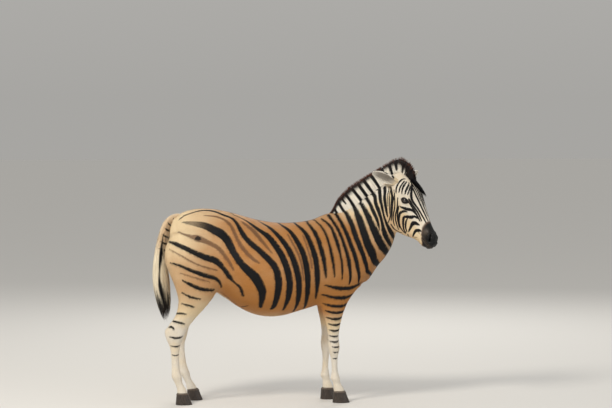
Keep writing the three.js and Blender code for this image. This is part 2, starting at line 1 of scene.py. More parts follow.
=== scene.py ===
"""A plains zebra mare on a pale studio floor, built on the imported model's frame.

One skin carries her markings as values on its mesh. Eyes, hooves, ears, mane, tail and coat tufts are pieces
of their own. The body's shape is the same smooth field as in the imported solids, in millimetres and in the
drawing's own place; metres() moves it to the frame. She faces +X and her right side is -Y.
"""

import json
import math

import bpy
import numpy as np
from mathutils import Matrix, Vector

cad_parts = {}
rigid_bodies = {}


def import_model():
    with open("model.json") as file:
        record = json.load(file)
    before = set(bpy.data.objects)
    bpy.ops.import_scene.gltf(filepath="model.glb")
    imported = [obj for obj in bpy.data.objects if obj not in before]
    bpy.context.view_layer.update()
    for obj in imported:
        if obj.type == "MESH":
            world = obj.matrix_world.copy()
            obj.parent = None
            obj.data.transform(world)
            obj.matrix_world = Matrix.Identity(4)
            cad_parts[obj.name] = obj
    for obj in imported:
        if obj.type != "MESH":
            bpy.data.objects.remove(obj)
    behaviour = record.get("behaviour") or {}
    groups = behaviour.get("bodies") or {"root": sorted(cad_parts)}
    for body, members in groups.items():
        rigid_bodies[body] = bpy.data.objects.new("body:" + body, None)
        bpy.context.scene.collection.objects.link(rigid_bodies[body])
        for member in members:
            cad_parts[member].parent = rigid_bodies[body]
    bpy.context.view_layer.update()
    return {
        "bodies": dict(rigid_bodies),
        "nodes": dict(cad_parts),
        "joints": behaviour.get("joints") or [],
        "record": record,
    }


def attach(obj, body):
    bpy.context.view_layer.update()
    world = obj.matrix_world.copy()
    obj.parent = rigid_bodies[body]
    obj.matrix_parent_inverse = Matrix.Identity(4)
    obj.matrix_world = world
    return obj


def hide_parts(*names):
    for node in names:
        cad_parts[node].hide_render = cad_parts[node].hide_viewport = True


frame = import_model()

# ---------------------------------------------------------------- named sizes, in millimetres
MIDDLE = np.array([-11.0, -9.0, 0.0])  # the frame's origin in the drawing
COAT_DEPTH = 3.5  # the skin lies this far inside the solids
BODY_CELL = 9.3  # size of the skin's quads, halved on the head and again at the eyes, nose and mouth
# Where the neck's and the head's frames start, and by how many degrees they are tipped and turned
NECK_ROOT = (200, 0, 940)
NECK_PITCH = 45
POLL = (674, -96, 1503)
HEAD_PITCH = 56
HEAD_YAW = 39
EYE_RADIUS = 21.5
EYE_AT = (190, 10, 84)  # in the head's frame, and so is the ear's root
EAR_ROOT = (42, 8, 70)
EAR_LENGTH = 184
EAR_WIDTH = 72
EAR_DEPTH = 0.8  # how deep the ear is as part of a round one
EAR_BEND = -8  # how far its tip is bent back
HOOF_HEIGHT = 72
SIDES = (("right", -1), ("left", 1))

rng = np.random.default_rng(7)


def metres(points):
    return (np.asarray(points, float) - MIDDLE) / 1000.0


# ---------------------------------------------------------------- frames
class Frame:
    """An origin and three axes: along the form, up (its upper edge) and to its left side."""

    def __init__(self, origin, along, up, side):
        self.origin = np.array(origin, float)
        self.axes = np.array([along, up, side], float)

    def local(self, p):
        return (p - self.origin) @ self.axes.T

    def world(self, q):
        return self.origin + np.asarray(q, float) @ self.axes

    def turned(self, q):
        return np.asarray(q, float) @ self.axes


def turned_frame(origin, pitch, yaw):
    sp, cp = math.sin(math.radians(pitch)), math.cos(math.radians(pitch))
    sy, cy = math.sin(math.radians(yaw)), math.cos(math.radians(yaw))
    return Frame(origin, (cp * cy, -cp * sy, sp), (-sp * cy, sp * sy, cp), (sy, cy, 0))


BODY = Frame((0, 0, 0), (1, 0, 0), (0, 0, 1), (0, 1, 0))
LEG = Frame((0, 0, 0), (0, 0, 1), (1, 0, 0), (0, 1, 0))
NECK = turned_frame(NECK_ROOT, NECK_PITCH, 0)
HEAD = turned_frame(POLL, -HEAD_PITCH, HEAD_YAW)

# ---------------------------------------------------------------- the forms of her body, as in the solids
# x, back, belly, side, half width, taper
TRUNK_ROWS = [
    (-800, 1242, 1010, 0, 66, 0.1),
    (-740, 1274, 900, 0, 134, 0.22),
    (-660, 1293, 820, 0, 192, 0.26),
    (-560, 1293, 752, 0, 228, 0.24),
    (-460, 1276, 688, 0, 248, 0.16),
    (-370, 1252, 628, 0, 268, 0.12),
    (-280, 1226, 586, 0, 286, 0.1),
    (-180, 1206, 568, 0, 292, 0.12),
    (-80, 1198, 576, 0, 284, 0.16),
    (20, 1202, 604, 0, 262, 0.22),
    (120, 1219, 634, 0, 236, 0.3),
    (220, 1238, 668, 0, 208, 0.38),
    (320, 1190, 708, 0, 186, 0.34),
    (410, 1080, 760, 0, 156, 0.2),
    (460, 1010, 800, 0, 128, 0.1),
]
# z, front, rear, y, half width, taper
HIND_ROWS = [
    (80, -722, -795, 120, 32, 0),
    (104, -732, -797, 120, 29, 0),
    (135, -750, -808, 120, 26.5, 0),
    (160, -757, -820, 121, 29, 0),
    (186, -759, -832, 121, 33, 0),
    (215, -768, -832, 121, 28, 0),
    (260, -775, -832, 121, 23.5, 0),
    (340, -776, -836, 122, 24, 0),
    (390, -768, -846, 123, 28, 0),
    (430, -752, -864, 124, 37, 0),
    (470, -738, -876, 125, 41, 0),
    (496, -727, -873, 126, 39, 0.1),
    (530, -704, -846, 128, 38, 0.1),
    (575, -668, -814, 131, 42, 0.1),
    (625, -622, -795, 135, 51, 0.05),
    (680, -576, -786, 138, 65, 0),
    (730, -542, -793, 138, 80, 0),
    (800, -528, -815, 134, 94, 0),
    (870, -520, -844, 128, 104, 0),
    (950, -522, -872, 122, 110, 0),
    (1040, -530, -868, 112, 104, 0),
    (1120, -550, -830, 98, 84, 0),
]
FORE_ROWS = [
    (80, 304, 226, 96, 33, 0),
    (104, 293, 224, 96, 30, 0),
    (130, 280, 223, 97, 27, 0),
    (160, 275, 208, 98, 32, 0),
    (182, 270, 212, 98, 29, 0),
    (215, 263, 216, 99, 23.5, 0),
    (290, 264, 214, 101, 24, 0),
    (330, 272, 206, 102, 32, 0),
    (368, 280, 198, 103, 38, 0),
    (402, 278, 198, 104, 37, 0),
    (440, 276, 200, 106, 35, 0),
    (500, 284, 192, 110, 40, 0),
    (560, 298, 178, 116, 47, 0),
    (620, 318, 162, 122, 56, 0),
    (680, 346, 148, 128, 64, 0),
    (760, 398, 150, 132, 68, 0),
    (850, 440, 160, 132, 68, 0),
]
# along the neck, crest, throat, side, half width, taper
NECK_ROWS = [
    (60, 190, -250, 0, 130, 0.3),
    (160, 206, -274, 0, 142, 0.4),
    (240, 196, -276, 0, 132, 0.46),
    (310, 160, -270, -4, 117, 0.46),
    (390, 128, -246, -20, 103, 0.42),
    (465, 116, -204, -42, 92, 0.38),
    (540, 106, -160, -68, 84, 0.34),
    (612, 94, -116, -93, 78, 0.3),
    (680, 64, -64, -110, 66, 0.2),
]
# along the head, face, jaw, side, half width, taper
HEAD_ROWS = [
    (0, 58, -96, 0, 60, 0.0),
    (50, 78, -150, 0, 78, -0.08),
    (110, 87, -184, 0, 86, -0.18),
    (165, 89, -202, 0, 88, -0.24),
    (220, 80, -212, 0, 83, -0.2),
    (275, 69, -208, 0, 75, -0.1),
    (325, 59, -188, 0, 66, 0.0),
    (370, 50, -156, 0, 57, 0.08),
    (415, 42, -116, 0, 52, 0.04),
    (455, 38, -96, 0, 51, -0.08),
    (490, 33, -86, 0, 50, -0.14),
    (514, 18, -72, 0, 43, -0.12),
]
# place, reach, height of each swell or hollow, on both sides
HEAD_RELIEF = [
    ((166, 46, 92), (46, 24, 30), 17),  # brow over the eye
    ((198, -26, 86), (40, 16, 22), 7),  # cheekbone under the eye
    ((128, 46, 62), (26, 18, 22), -7),  # hollow of the temple
    ((280, -22, 64), (70, 12, 20), 6),  # facial crest
    ((170, -104, 60), (74, 62, 26), 12),  # cheek muscle
    ((300, 26, 50), (60, 24, 22), -5),  # side of the nose
    ((330, -74, 50), (60, 24, 22), -7),  # behind the corner of the mouth
    ((478, 16, 50), (34, 24, 22), 9),  # nostril's flare
    ((430, -10, 50), (22, 36, 20), -3),  # in front of the cheek
    ((516, -18, 28), (24, 22, 34), 6),  # upper lip
    ((470, -72, 0), (30, 18, 30), 9),  # chin
]
BODY_RELIEF = [
    ((250, 900, 190), (120, 150, 60), 12),  # shoulder
    ((430, 900, 120), (60, 70, 60), 20),  # point of the shoulder
    ((190, 770, 175), (70, 60, 50), 12),  # triceps over the elbow
    ((330, 1060, 150), (60, 90, 60), -8),  # in front of the shoulder blade
    ((60, 1120, 190), (70, 70, 90), -6),  # behind the withers
    ((-500, 1165, 190), (60, 60, 60), 12),  # point of the hip
    ((-440, 1080, 240), (60, 90, 60), -14),  # hollow of the flank
    ((-560, 780, 200), (60, 60, 50), 8),  # stifle
    ((-700, 1120, 180), (110, 90, 80), 8),  # rump
    ((-845, 1180, 0), (50, 90, 46), -8),  # under the tail's root
]
# Finer relief, on the skin only
SKIN_RELIEF = [
    ((235, 960, 205), (26, 120, 40), 3),  # edge of the shoulder blade
    ((300, 900, 190), (24, 110, 40), -3),
    ((-60, 900, 280), (200, 30, 60), 2),
    ((-520, 900, 220), (34, 120, 60), -4),  # between the flank and the thigh
    ((-640, 900, 200), (50, 130, 50), 3),
    ((-760, 940, 170), (22, 150, 60), -4),  # groove behind the thigh
    ((-790, 530, 150), (16, 50, 20), -3),  # before the hock's tendon
    ((-815, 560, 110), (14, 60, 20), 3),
    ((235, 360, 120), (14, 30, 20), 3),  # knee
]
RELIEF_ENDS = 12  # a swell ends where the square of the distance, counted in its reaches, comes to this
LEG_FILLET = 56
NECK_FILLET = 70
HEAD_FILLET = 50
HIND = dict(rows=HIND_ROWS, joins=760)
FORE = dict(rows=FORE_ROWS, joins=700)
LEGS = [
    dict(name="right_hind", hand=-1, stride=0, **HIND),
    dict(name="left_hind", hand=1, stride=80, **HIND),
    dict(name="right_fore", hand=-1, stride=24, **FORE),
    dict(name="left_fore", hand=1, stride=-40, **FORE),
]


def eased(t):
    return t * t * (3 - 2 * t)


def shares(t, length=1.0):
    """How much both ends' values and both ends' slopes count at t, which goes from 0 to 1 over the length."""
    return 1 - eased(t), eased(t), length * t * (1 - t) ** 2, -length * t * t * (1 - t)


def smooth_rows(rows):
    """A function from places to smooth values between the rows; the first column is the place."""
    rows = np.array(rows, float)
    x = rows[:, 0]
    before = np.maximum(np.arange(len(x)) - 1, 0)
    after = np.minimum(np.arange(len(x)) + 1, len(x) - 1)
    slope = (rows[after] - rows[before]) / (x[after] - x[before])[:, None]

    def at(place):
        q = np.clip(place, x[0], x[-1])
        i = np.clip(np.searchsorted(x, q), 1, len(x) - 1)
        length = x[i] - x[i - 1]
        a, b, leave, arrive = shares((q - x[i - 1]) / length, length)
        return [
            rows[i - 1, k] * a + rows[i, k] * b + slope[i - 1, k] * leave + slope[i, k] * arrive
            for k in range(1, rows.shape[1])
        ]

    return at


def sliced_form(frame, rows, cap, power=2.0):
    """About the distance to a form given by slices across it. cap is how far its rounded ends reach."""
    at = smooth_rows(rows)
    first, last = rows[0][0], rows[-1][0]

    def field(p):
        a, u, s = frame.local(p).T
        top, bottom, side, half_width, taper = at(a)
        high = (top - bottom) / 2
        v = (u - (top + bottom) / 2) / high
        wide = half_width * (1 - taper * np.clip(v, -1.2, 1.2))
        q = [np.abs(s - side) / wide, np.abs(v), np.abs(a - np.clip(a, first, last)) / cap]
        k = np.maximum(sum(x**power for x in q) ** (1 / power), 1e-6)
        g = [(x / k) ** (power - 1) for x in q]
        return (k - 1) / np.sqrt((g[0] / wide) ** 2 + (g[1] / high) ** 2 + (g[2] / cap) ** 2 + 1e-12)

    return field


def blend(a, b, k):
    """Two fields joined with a fillet of about k."""
    return np.minimum(a, b) - np.maximum(k - np.abs(a - b), 0) ** 2 / (4 * k)


def relief_at(frame, relief, p):
    """How far the swells and hollows move the surface out at each place."""
    q = frame.local(p)
    q[:, 2] = np.abs(q[:, 2])
    total = np.zeros(len(q))
    for at, reach, height in relief:
        away = (((q - at) / np.array(reach, float)) ** 2).sum(1)
        near = away < RELIEF_ENDS
        total[near] += height * np.exp(-away[near])
    return total


def stride_at(leg, z):
    """How far forward the leg is moved at each height, so that she stands in an easy stride."""
    return leg["stride"] * np.clip(1 - z / leg["joins"], 0, 1)


def leg_form(leg):
    placed = [
        (z, front + stride_at(leg, z), rear + stride_at(leg, z), leg["hand"] * y, half, taper)
        for z, front, rear, y, half, taper in leg["rows"]
    ]
    return sliced_form(LEG, placed, 30)


trunk_form = sliced_form(BODY, TRUNK_ROWS, 46)
neck_form = sliced_form(NECK, NECK_ROWS, 30)
head_form = sliced_form(HEAD, HEAD_ROWS, 28, 2.5)
leg_forms = [leg_form(leg) for leg in LEGS]


def head_only(p):
    """The head without the neck."""
    return head_form(p) - relief_at(HEAD, HEAD_RELIEF, p)


def flesh_field(p):
    """Below 0 inside the flesh; about the distance to its surface in millimetres."""
    d = trunk_form(p)
    for form in leg_forms:
        d = blend(d, form(p), LEG_FILLET)
    d = blend(d, neck_form(p), NECK_FILLET) - relief_at(BODY, BODY_RELIEF + SKIN_RELIEF, p)
    return blend(d, head_only(p), HEAD_FILLET)


def skin_field(p):
    return flesh_field(p) + COAT_DEPTH


# ---------------------------------------------------------------- laying the skin on the field
def in_chunks(field, p, size=60000):
    return np.concatenate([field(p[i : i + size]) for i in range(0, len(p), size)])


def slope_of(field, p, value, step=0.5):
    return np.stack([(field(p + step * axis) - value) / step for axis in np.eye(3)], 1)


def settle(field, p, rounds=3, furthest=12, size=40000):
    """Moves points onto the field's surface, no further than the furthest in each round."""
    out = []
    for i in range(0, len(p), size):
        q = p[i : i + size].copy()
        for _ in range(rounds):
            value = field(q)
            slope = slope_of(field, q, value)
            steep = np.maximum((slope * slope).sum(1), 0.05)
            q -= slope * np.clip(value / steep, -furthest, furthest)[:, None]
        out.append(q)
    return np.concatenate(out)


def at_corners(count):
    """For each of a cell's eight corners, the part of a grid of points that is that corner of every cell."""
    corners = [(i, j, k) for i in (0, 1) for j in (0, 1) for k in (0, 1)]
    return [tuple(slice(shift, n + shift) for shift, n in zip(corner, count)) for corner in corners]


BLOCK = 4  # the field is first worked out at every fourth point
BAND = 1.5  # blocks with the surface within this many blocks of a corner are worked out in full


def narrow_band(field, low, count, cell):
    """The field on a grid, worked out only near the surface. Elsewhere only its sign is right."""
    coarse_count = [(n - 1) // BLOCK + 1 for n in count]
    index = np.stack(np.meshgrid(*[np.arange(n) for n in coarse_count], indexing="ij"), -1).reshape(-1, 3)
    coarse = in_chunks(field, low + index * cell * BLOCK).reshape(coarse_count)
    corners = [coarse[part] for part in at_corners([n - 1 for n in coarse_count])]
    near = np.min(np.abs(corners), 0) < BAND * BLOCK * cell

    def spread(a, fill):
        for axis in range(3):
            a = np.repeat(a, BLOCK, axis)
        return np.pad(a, [(0, 1)] * 3, constant_values=fill)

    wanted = spread(near, False)
    for axis in range(3):
        wanted |= np.roll(wanted, 1, axis)
    value = spread(coarse[:-1, :-1, :-1], 1.0).astype(np.float32)
    at = np.argwhere(wanted)
    value[tuple(at.T)] = in_chunks(field, low + at * cell)
    return value


def surface_net(field, low, high, cell):
    """A closed mesh of quads with one point in each grid cell that the surface crosses."""
    low = np.array(low, float)
    count = [int(np.ceil((h - l) / cell / BLOCK)) * BLOCK + 1 for l, h in zip(low, high)]
    value = narrow_band(field, low, count, cell)
    inside = value < 0
    n = [c - 1 for c in count]
    some = np.zeros(n, bool)
    every = np.ones(n, bool)
    for part in at_corners(n):
        some |= inside[part]
        every &= inside[part]
    cells = np.argwhere(some & ~every)
    total = np.zeros((len(cells), 3))
    hits = np.zeros(len(cells))
    for axis in range(3):
        b, c = (axis + 1) % 3, (axis + 2) % 3
        for edge in range(4):
            start = cells.copy()
            start[:, b] += edge & 1
            start[:, c] += edge >> 1
            end = start.copy()
            end[:, axis] += 1
            v, w = value[tuple(start.T)].astype(float), value[tuple(end.T)].astype(float)
            crosses = (v < 0) != (w < 0)
            t = np.where(crosses, v / np.where(crosses, v - w, 1), 0)
            place = start + (end - start) * t[:, None]
            total += place * crosses[:, None]
            hits += crosses
    points = low + total / hits[:, None] * cell
    number = np.full(n, -1, np.int32)
    number[tuple(cells.T)] = np.arange(len(cells))
    faces = []
    for axis in range(3):
        b, c = (axis + 1) % 3, (axis + 2) % 3
        here = [slice(1, m) for m in n]
        there = [slice(1, m) for m in n]
        here[axis] = slice(0, n[axis])
        there[axis] = slice(1, n[axis] + 1)
        first, second = inside[tuple(here)], inside[tuple(there)]
        at = np.argwhere(first != second)
        at[:, b] += 1
        at[:, c] += 1
        leaving = inside[tuple(at.T)]

        def corner(db, dc):
            q = at.copy()
            q[:, b] -= db
            q[:, c] -= dc
            return number[tuple(q.T)]

        quad = np.stack([corner(1, 1), corner(0, 1), corner(0, 0), corner(1, 0)], 1)
        faces.append(np.where(leaving[:, None], quad, quad[:, ::-1]))
    return points, np.concatenate(faces)


def refined(points, faces, chosen):
    """Splits the chosen quads in four and gives their neighbours the new points."""
    points = list(points)
    middles = {}

    def middle(a, b):
        key = min(a, b), max(a, b)
        if key not in middles:
            middles[key] = len(points)
            points.append((points[a] + points[b]) / 2)
        return middles[key]

    made, kept = [], []
    for face, split in zip(faces, chosen):
        if not split or len(face) != 4:
            kept.append(face)
            continue
        ring = [middle(face[i], face[(i + 1) % 4]) for i in range(4)]
        centre = len(points)
        points.append(sum(points[i] for i in face) / 4)
        made += [[face[i], ring[i], centre, ring[i - 1]] for i in range(4)]
    for face in kept:
        full = []
        for a, b in zip(face, list(face[1:]) + [face[0]]):
            full.append(a)
            if (min(a, b), max(a, b)) in middles:
                full.append(middles[min(a, b), max(a, b)])
        made.append(full)
    return np.array(points), made


def centres_of(points, faces):
    return np.array([np.mean(points[list(f)], 0) for f in faces])


def curve_through(points, step=9.0):
    """A smooth curve through control points; all columns are carried along."""
    points = np.array(points, float)
    n = len(points)
    before = np.vstack([2 * points[0] - points[1], points[:-1]])
    after = np.vstack([points[1:], 2 * points[-1] - points[-2]])
    slope = (after - before) / 2
    out = []
    for i in range(n - 1):
        count = max(int(np.linalg.norm(points[i + 1, :-1] - points[i, :-1]) / step), 1)
        a, b, leave, arrive = shares((np.arange(count) / count)[:, None])
        out.append(points[i] * a + points[i + 1] * b + slope[i] * leave + slope[i + 1] * arrive)
    return np.vstack(out + [points[-1:]])


def segment_distance(p, a, b):
    """The distance to the straight piece from a to b, and how far along it the nearest place is (0 to 1)."""
    ab = np.subtract(b, a)
    t = np.clip((p - a) @ ab / (ab @ ab), 0, 1)
    return np.linalg.norm(p - (a + t[:, None] * ab), axis=1), t


# ---------------------------------------------------------------- the face's finer forms, on the skin only
LID = 3.0  # thickness of the lids over the eyeball
LID_FILLET = 12
EYE_SLIT = (20.0, 12.5, 10.5)  # half the slit's length, and its height above and below the eye's middle
EYE_TURN = math.radians(35)  # the slit's front corner is turned up from the head's own line by this
FACE_FOLDS = [
    ((148, 44, 96), (12, 16, 20), -4),  # fold over the upper lid
    ((172, 34, 100), (26, 6, 12), 4),
    ((196, -22, 92), (24, 5, 12), -3),  # fold under the lower lid
    ((232, 2, 84), (16, 8, 14), -3),  # in front of the eye
    ((500, 26, 20), (26, 14, 16), -4),  # between the nostrils
    ((452, -14, 54), (16, 20, 16), -4),  # behind the nostril
    ((452, -88, 46), (46, 18, 20), -5),  # side of the chin
    ((500, -20, 52), (50, 70, 28), -6),  # the muzzle's side and front, inside the solid
    ((540, -20, 0), (28, 80, 70), -5),
    ((250, -150, 50), (60, 14, 26), 4),  # edge of the jaw
    ((95, -60, 88), (16, 60, 30), 4),  # rear edge of the cheek
    ((58, -70, 84), (14, 70, 30), -5),
]
NOSTRIL_BACK = ((430, 0, 50), 24)  # the paler skin behind the nostril: its place and how far it reaches
NOSTRIL = [(468, 29, 37), (478, 20, 45), (490, 7, 47), (498, -4, 43)]
NOSTRIL_SHAPE = dict(depth=15.0, width=7.0, rim=3.0, rim_at=14.0, rim_width=5.5)
MOUTH = [(412, -40, 56), (440, -39, 55), (470, -37, 52), (500, -35, 44), (526, -32, 26), (536, -31, 0)]
MOUTH_SHAPE = dict(depth=8.0, width=3.8, rim=2.0, rim_at=11.0, rim_width=6.0)


def mirrored_head(points):
    """Places in the head's frame, both sides folded onto one."""
    q = HEAD.local(points)
    q[:, 2] = np.abs(q[:, 2])
    return q


def from_line(q, line):
    """The distance from a line of points."""
    return np.min([segment_distance(q, a, b)[0] for a, b in zip(line, line[1:])], 0)


def face_field(p):
    """The head's skin with lids over the eyeballs, before the mouth and the nostrils are pressed in."""
    d = skin_field(p) - relief_at(HEAD, FACE_FOLDS, p)
    return blend(d, np.linalg.norm(mirrored_head(p) - EYE_AT, axis=1) - EYE_RADIUS - LID, LID_FILLET)


def laid_on_face(points):
    """A smooth curve through places in the head's frame, laid on the face."""
    return mirrored_head(settle(face_field, HEAD.world(curve_through(points)), 6))


NOSTRIL_LINE = laid_on_face(NOSTRIL)
MOUTH_LINE = laid_on_face(MOUTH)


def groove(away, depth, width, rim, rim_at, rim_width):
    """How far a groove with raised rims moves the skin in, by the distance from its line."""
    return depth * np.exp(-((away / width) ** 2)) - rim * np.exp(-(((away - rim_at) / rim_width) ** 2))


def pressed(points):
    """The head's skin with the mouth and the nostrils pressed into it."""
    q = mirrored_head(points)
    mouth, nostril = from_line(q, MOUTH_LINE), from_line(q, NOSTRIL_LINE)
    depth = groove(mouth, **MOUTH_SHAPE) + groove(nostril, **NOSTRIL_SHAPE)
    out = slope_of(face_field, points, face_field(points))
    return points - depth[:, None] * out / np.maximum(np.linalg.norm(out, axis=1, keepdims=True), 0.1)


def slit_at(eye):
    """Below 0 inside the almond between the lids. The eye's middle is the origin."""
    half, above, below = EYE_SLIT
    along = math.cos(EYE_TURN) * eye[:, 0] + math.sin(EYE_TURN) * eye[:, 1]
    height = math.cos(EYE_TURN) * eye[:, 1] - math.sin(EYE_TURN) * eye[:, 0]
    bow = 1 - (along / half) ** 2
    return np.maximum(height - above * bow, -below * bow - height)


def slit_slope(eye, step=0.05):
    return np.stack([(slit_at(eye + step * axis) - slit_at(eye)) / step for axis in np.eye(3)[:2]], 1)


def slit_distance(eye):
    """About the distance to the lids' edge in millimetres, below 0 between them."""
    return slit_at(eye) / np.sqrt(np.maximum((slit_slope(eye) ** 2).sum(1), 0.1))


# ---------------------------------------------------------------- markings
# Black stripes of the right side, and two lines of painted shadow: x, z and half width of each point along
# them
SIDE_STRIPES = {
    "dorsal_fork": [
        (-410, 1255, 4), (-335, 1220, 7), (-250, 1160, 16), (-180, 1105, 22), (-100, 980, 23),
        (-58, 835, 23), (-64, 715, 19), (-90, 625, 8),
    ],
    "back_long": [
        (-775, 1225, 5), (-730, 1255, 6), (-635, 1283, 7), (-555, 1282, 10), (-480, 1256, 10),
        (-408, 1220, 12), (-344, 1113, 18), (-232, 1008, 21), (-152, 918, 23), (-130, 803, 24),
        (-150, 675, 18), (-170, 635, 10),
    ],
    "widest": [
        (-750, 1210, 5), (-670, 1200, 20), (-590, 1182, 28), (-482, 1120, 29), (-420, 1012, 23),
        (-366, 933, 24), (-288, 857, 32), (-246, 785, 30), (-236, 736, 25), (-244, 647, 12),
    ],
    "thigh_1": [
        (-848, 1084, 5), (-805, 1073, 13), (-725, 1037, 16), (-612, 986, 20), (-540, 960, 22),
        (-490, 909, 16), (-448, 851, 17), (-425, 824, 8), (-380, 780, 11), (-361, 729, 12),
    ],
    "thigh_2": [
        (-840, 946, 4), (-784, 933, 8), (-702, 898, 12), (-620, 868, 15), (-540, 842, 13),
        (-509, 805, 9), (-500, 779, 5),
    ],
    "thigh_3": [(-762, 833, 5), (-700, 802, 12), (-636, 776, 13), (-549, 765, 9)],
    "thigh_4": [(-765, 750, 5), (-701, 720, 9), (-640, 708, 4)],
    "hip_spot": [(-676, 1102, 5), (-655, 1110, 15), (-636, 1102, 5)],
    "gaskin_1": [(-768, 678, 4), (-702, 660, 7), (-680, 653, 4)],
    "gaskin_2": [(-800, 609, 5), (-774, 612, 7), (-734, 606, 5)],
    "gaskin_3": [(-823, 560, 6), (-771, 548, 8), (-742, 538, 4)],
    "hock_1": [(-846, 522, 7), (-829, 521, 8), (-814, 507, 6)],
    "flank_2": [
        (-250, 1217, 4), (-150, 1150, 15), (-52, 1020, 21), (0, 860, 22), (5, 700, 17),
        (-18, 605, 5),
    ],
    "flank_3": [
        (-120, 1205, 6), (-32, 1135, 16), (42, 990, 21), (66, 820, 21), (60, 670, 12), (52, 625, 5),
    ],
    "girth_1": [(-10, 1205, 7), (66, 1125, 16), (118, 980, 20), (131, 830, 18), (124, 700, 6)],
    "girth_2": [(75, 1211, 7), (133, 1120, 15), (170, 990, 16), (186, 880, 10), (190, 845, 5)],
    "withers": [(128, 1219, 5), (179, 1163, 8), (214, 1070, 10), (236, 950, 11), (246, 850, 4)],
    "neck_1": [
        (173, 1229, 6), (232, 1174, 10), (270, 1073, 13), (291, 979, 8), (298, 930, 9),
        (296, 835, 5),
    ],
    "neck_2": [
        (223, 1252, 11), (273, 1171, 11), (314, 1069, 12), (345, 950, 14), (352, 845, 10),
        (344, 800, 5),
    ],
    "neck_3": [
        (270, 1261, 11), (307, 1197, 12), (351, 1090, 15), (388, 978, 15), (412, 860, 12),
        (410, 805, 7),
    ],
    "neck_4": [(330, 1281, 11), (367, 1204, 17), (405, 1087, 18), (446, 980, 17), (472, 880, 13)],
    "neck_5": [(391, 1307, 12), (425, 1219, 23), (473, 1069, 27), (506, 997, 31), (525, 945, 26)],
    "neck_6": [(431, 1337, 12), (469, 1264, 18), (535, 1115, 26), (573, 1046, 27), (612, 1000, 22)],
    "neck_7": [
        (458, 1385, 12), (490, 1329, 12), (511, 1277, 13), (534, 1224, 11), (549, 1171, 6),
        (553, 1149, 2),
    ],
    "neck_8": [
        (500, 1412, 12), (522, 1374, 13), (527, 1330, 13), (546, 1278, 13), (562, 1225, 10),
        (575, 1171, 12), (592, 1118, 17), (627, 1062, 15), (638, 1047, 10),
    ],
    "neck_9": [
        (553, 1449, 13), (554, 1375, 13), (567, 1304, 10), (578, 1251, 7), (596, 1198, 9),
        (624, 1144, 14), (644, 1116, 14), (660, 1095, 10),
    ],
    "neck_10": [(584, 1437, 12), (583, 1358, 12), (594, 1278, 9), (603, 1239, 4)],
    "neck_11": [(618, 1440, 7), (628, 1384, 9), (622, 1318, 6), (620, 1252, 5), (608, 1200, 3)],
    # painted shadow: a thin dark line along the jaw's lower edge, drawn as a stripe
    "jaw_edge_shadow": [(624, 1190, 4), (649, 1154, 5), (683, 1134, 4), (694, 1135, 2)],
    # painted shadow: a thin dark line along the belly's outline at the flank fold, drawn as a stripe
    "flank_fold_shadow": [(-500, 742, 2), (-445, 696, 3), (-392, 655, 2)],
    "belly_fleck_1": [(-372, 640, 2), (-345, 646, 4), (-325, 656, 2)],
    "belly_fleck_2": [(-395, 622, 2), (-370, 626, 3), (-350, 632, 2)],
}
LEG_MARKS = ("gaskin_1", "gaskin_2", "gaskin_3", "hock_1")  # these move with the hind leg
# On her left side the neck shows more behind the cheek, because her head is turned to the right
LEFT_STRIPES = {
    "left_neck_1": [(652, 1452, 7), (655, 1390, 9), (652, 1320, 7), (640, 1250, 5), (628, 1195, 3)],
    "left_neck_2": [(679, 1462, 5), (684, 1400, 7), (680, 1335, 6), (668, 1270, 3)],
    "left_neck_3": [(702, 1455, 4), (708, 1405, 5), (702, 1345, 4)],
}
# The first of these start at the stripe along the back, and the others run on round the front of the neck
TO_SPINE = ("dorsal_fork", "flank_2", "flank_3", "girth_1", "girth_2", "withers")
TO_THROAT = ("neck_4", "neck_5", "neck_6", "neck_8", "neck_9")
# Bands across the legs: height, front and rear x, and half width
FORELEG_BANDS = [
    (775, 436, 182, 13), (712, 405, 162, 12), (653, 368, 165, 11), (608, 335, 180, 10), (565, 312, 186, 9),
    (524, 298, 200, 8), (484, 288, 202, 7), (446, 282, 202, 6), (410, 278, 202, 6), (374, 276, 222, 5),
    (338, 272, 224, 4), (296, 264, 224, 4),
]
HINDLEG_BANDS = [(448, -750, -846, 7), (389, -768, -840, 5), (330, -776, -832, 4)]
# Brown shadow stripes between the black ones
SHADOW_STRIPES = {
    "shade_back": [
        (-605, 1254, 4), (-515, 1242, 8), (-443, 1199, 11), (-397, 1103, 12), (-362, 1043, 13),
        (-302, 979, 12), (-254, 947, 5),
    ],
    "shade_fork": [(-358, 1211, 8), (-291, 1158, 15), (-236, 1092, 12), (-170, 1010, 5)],
    "shade_hip": [
        (-783, 1149, 6), (-708, 1122, 11), (-655, 1108, 22), (-586, 1080, 15), (-517, 1039, 14),
        (-461, 966, 11), (-425, 901, 7),
    ],
    "shade_thigh_1": [(-847, 1037, 3), (-767, 995, 5), (-661, 938, 6), (-530, 896, 5)],
    "shade_thigh_2": [(-775, 879, 3), (-694, 856, 5), (-579, 821, 4)],
    "shade_flank_2": [(-195, 1140, 5), (-104, 1010, 8), (-62, 860, 5)],
    "shade_flank_3": [(-60, 1130, 5), (10, 985, 8), (38, 830, 4)],
    "shade_girth": [(42, 1120, 4), (84, 985, 6), (94, 910, 5)],
}
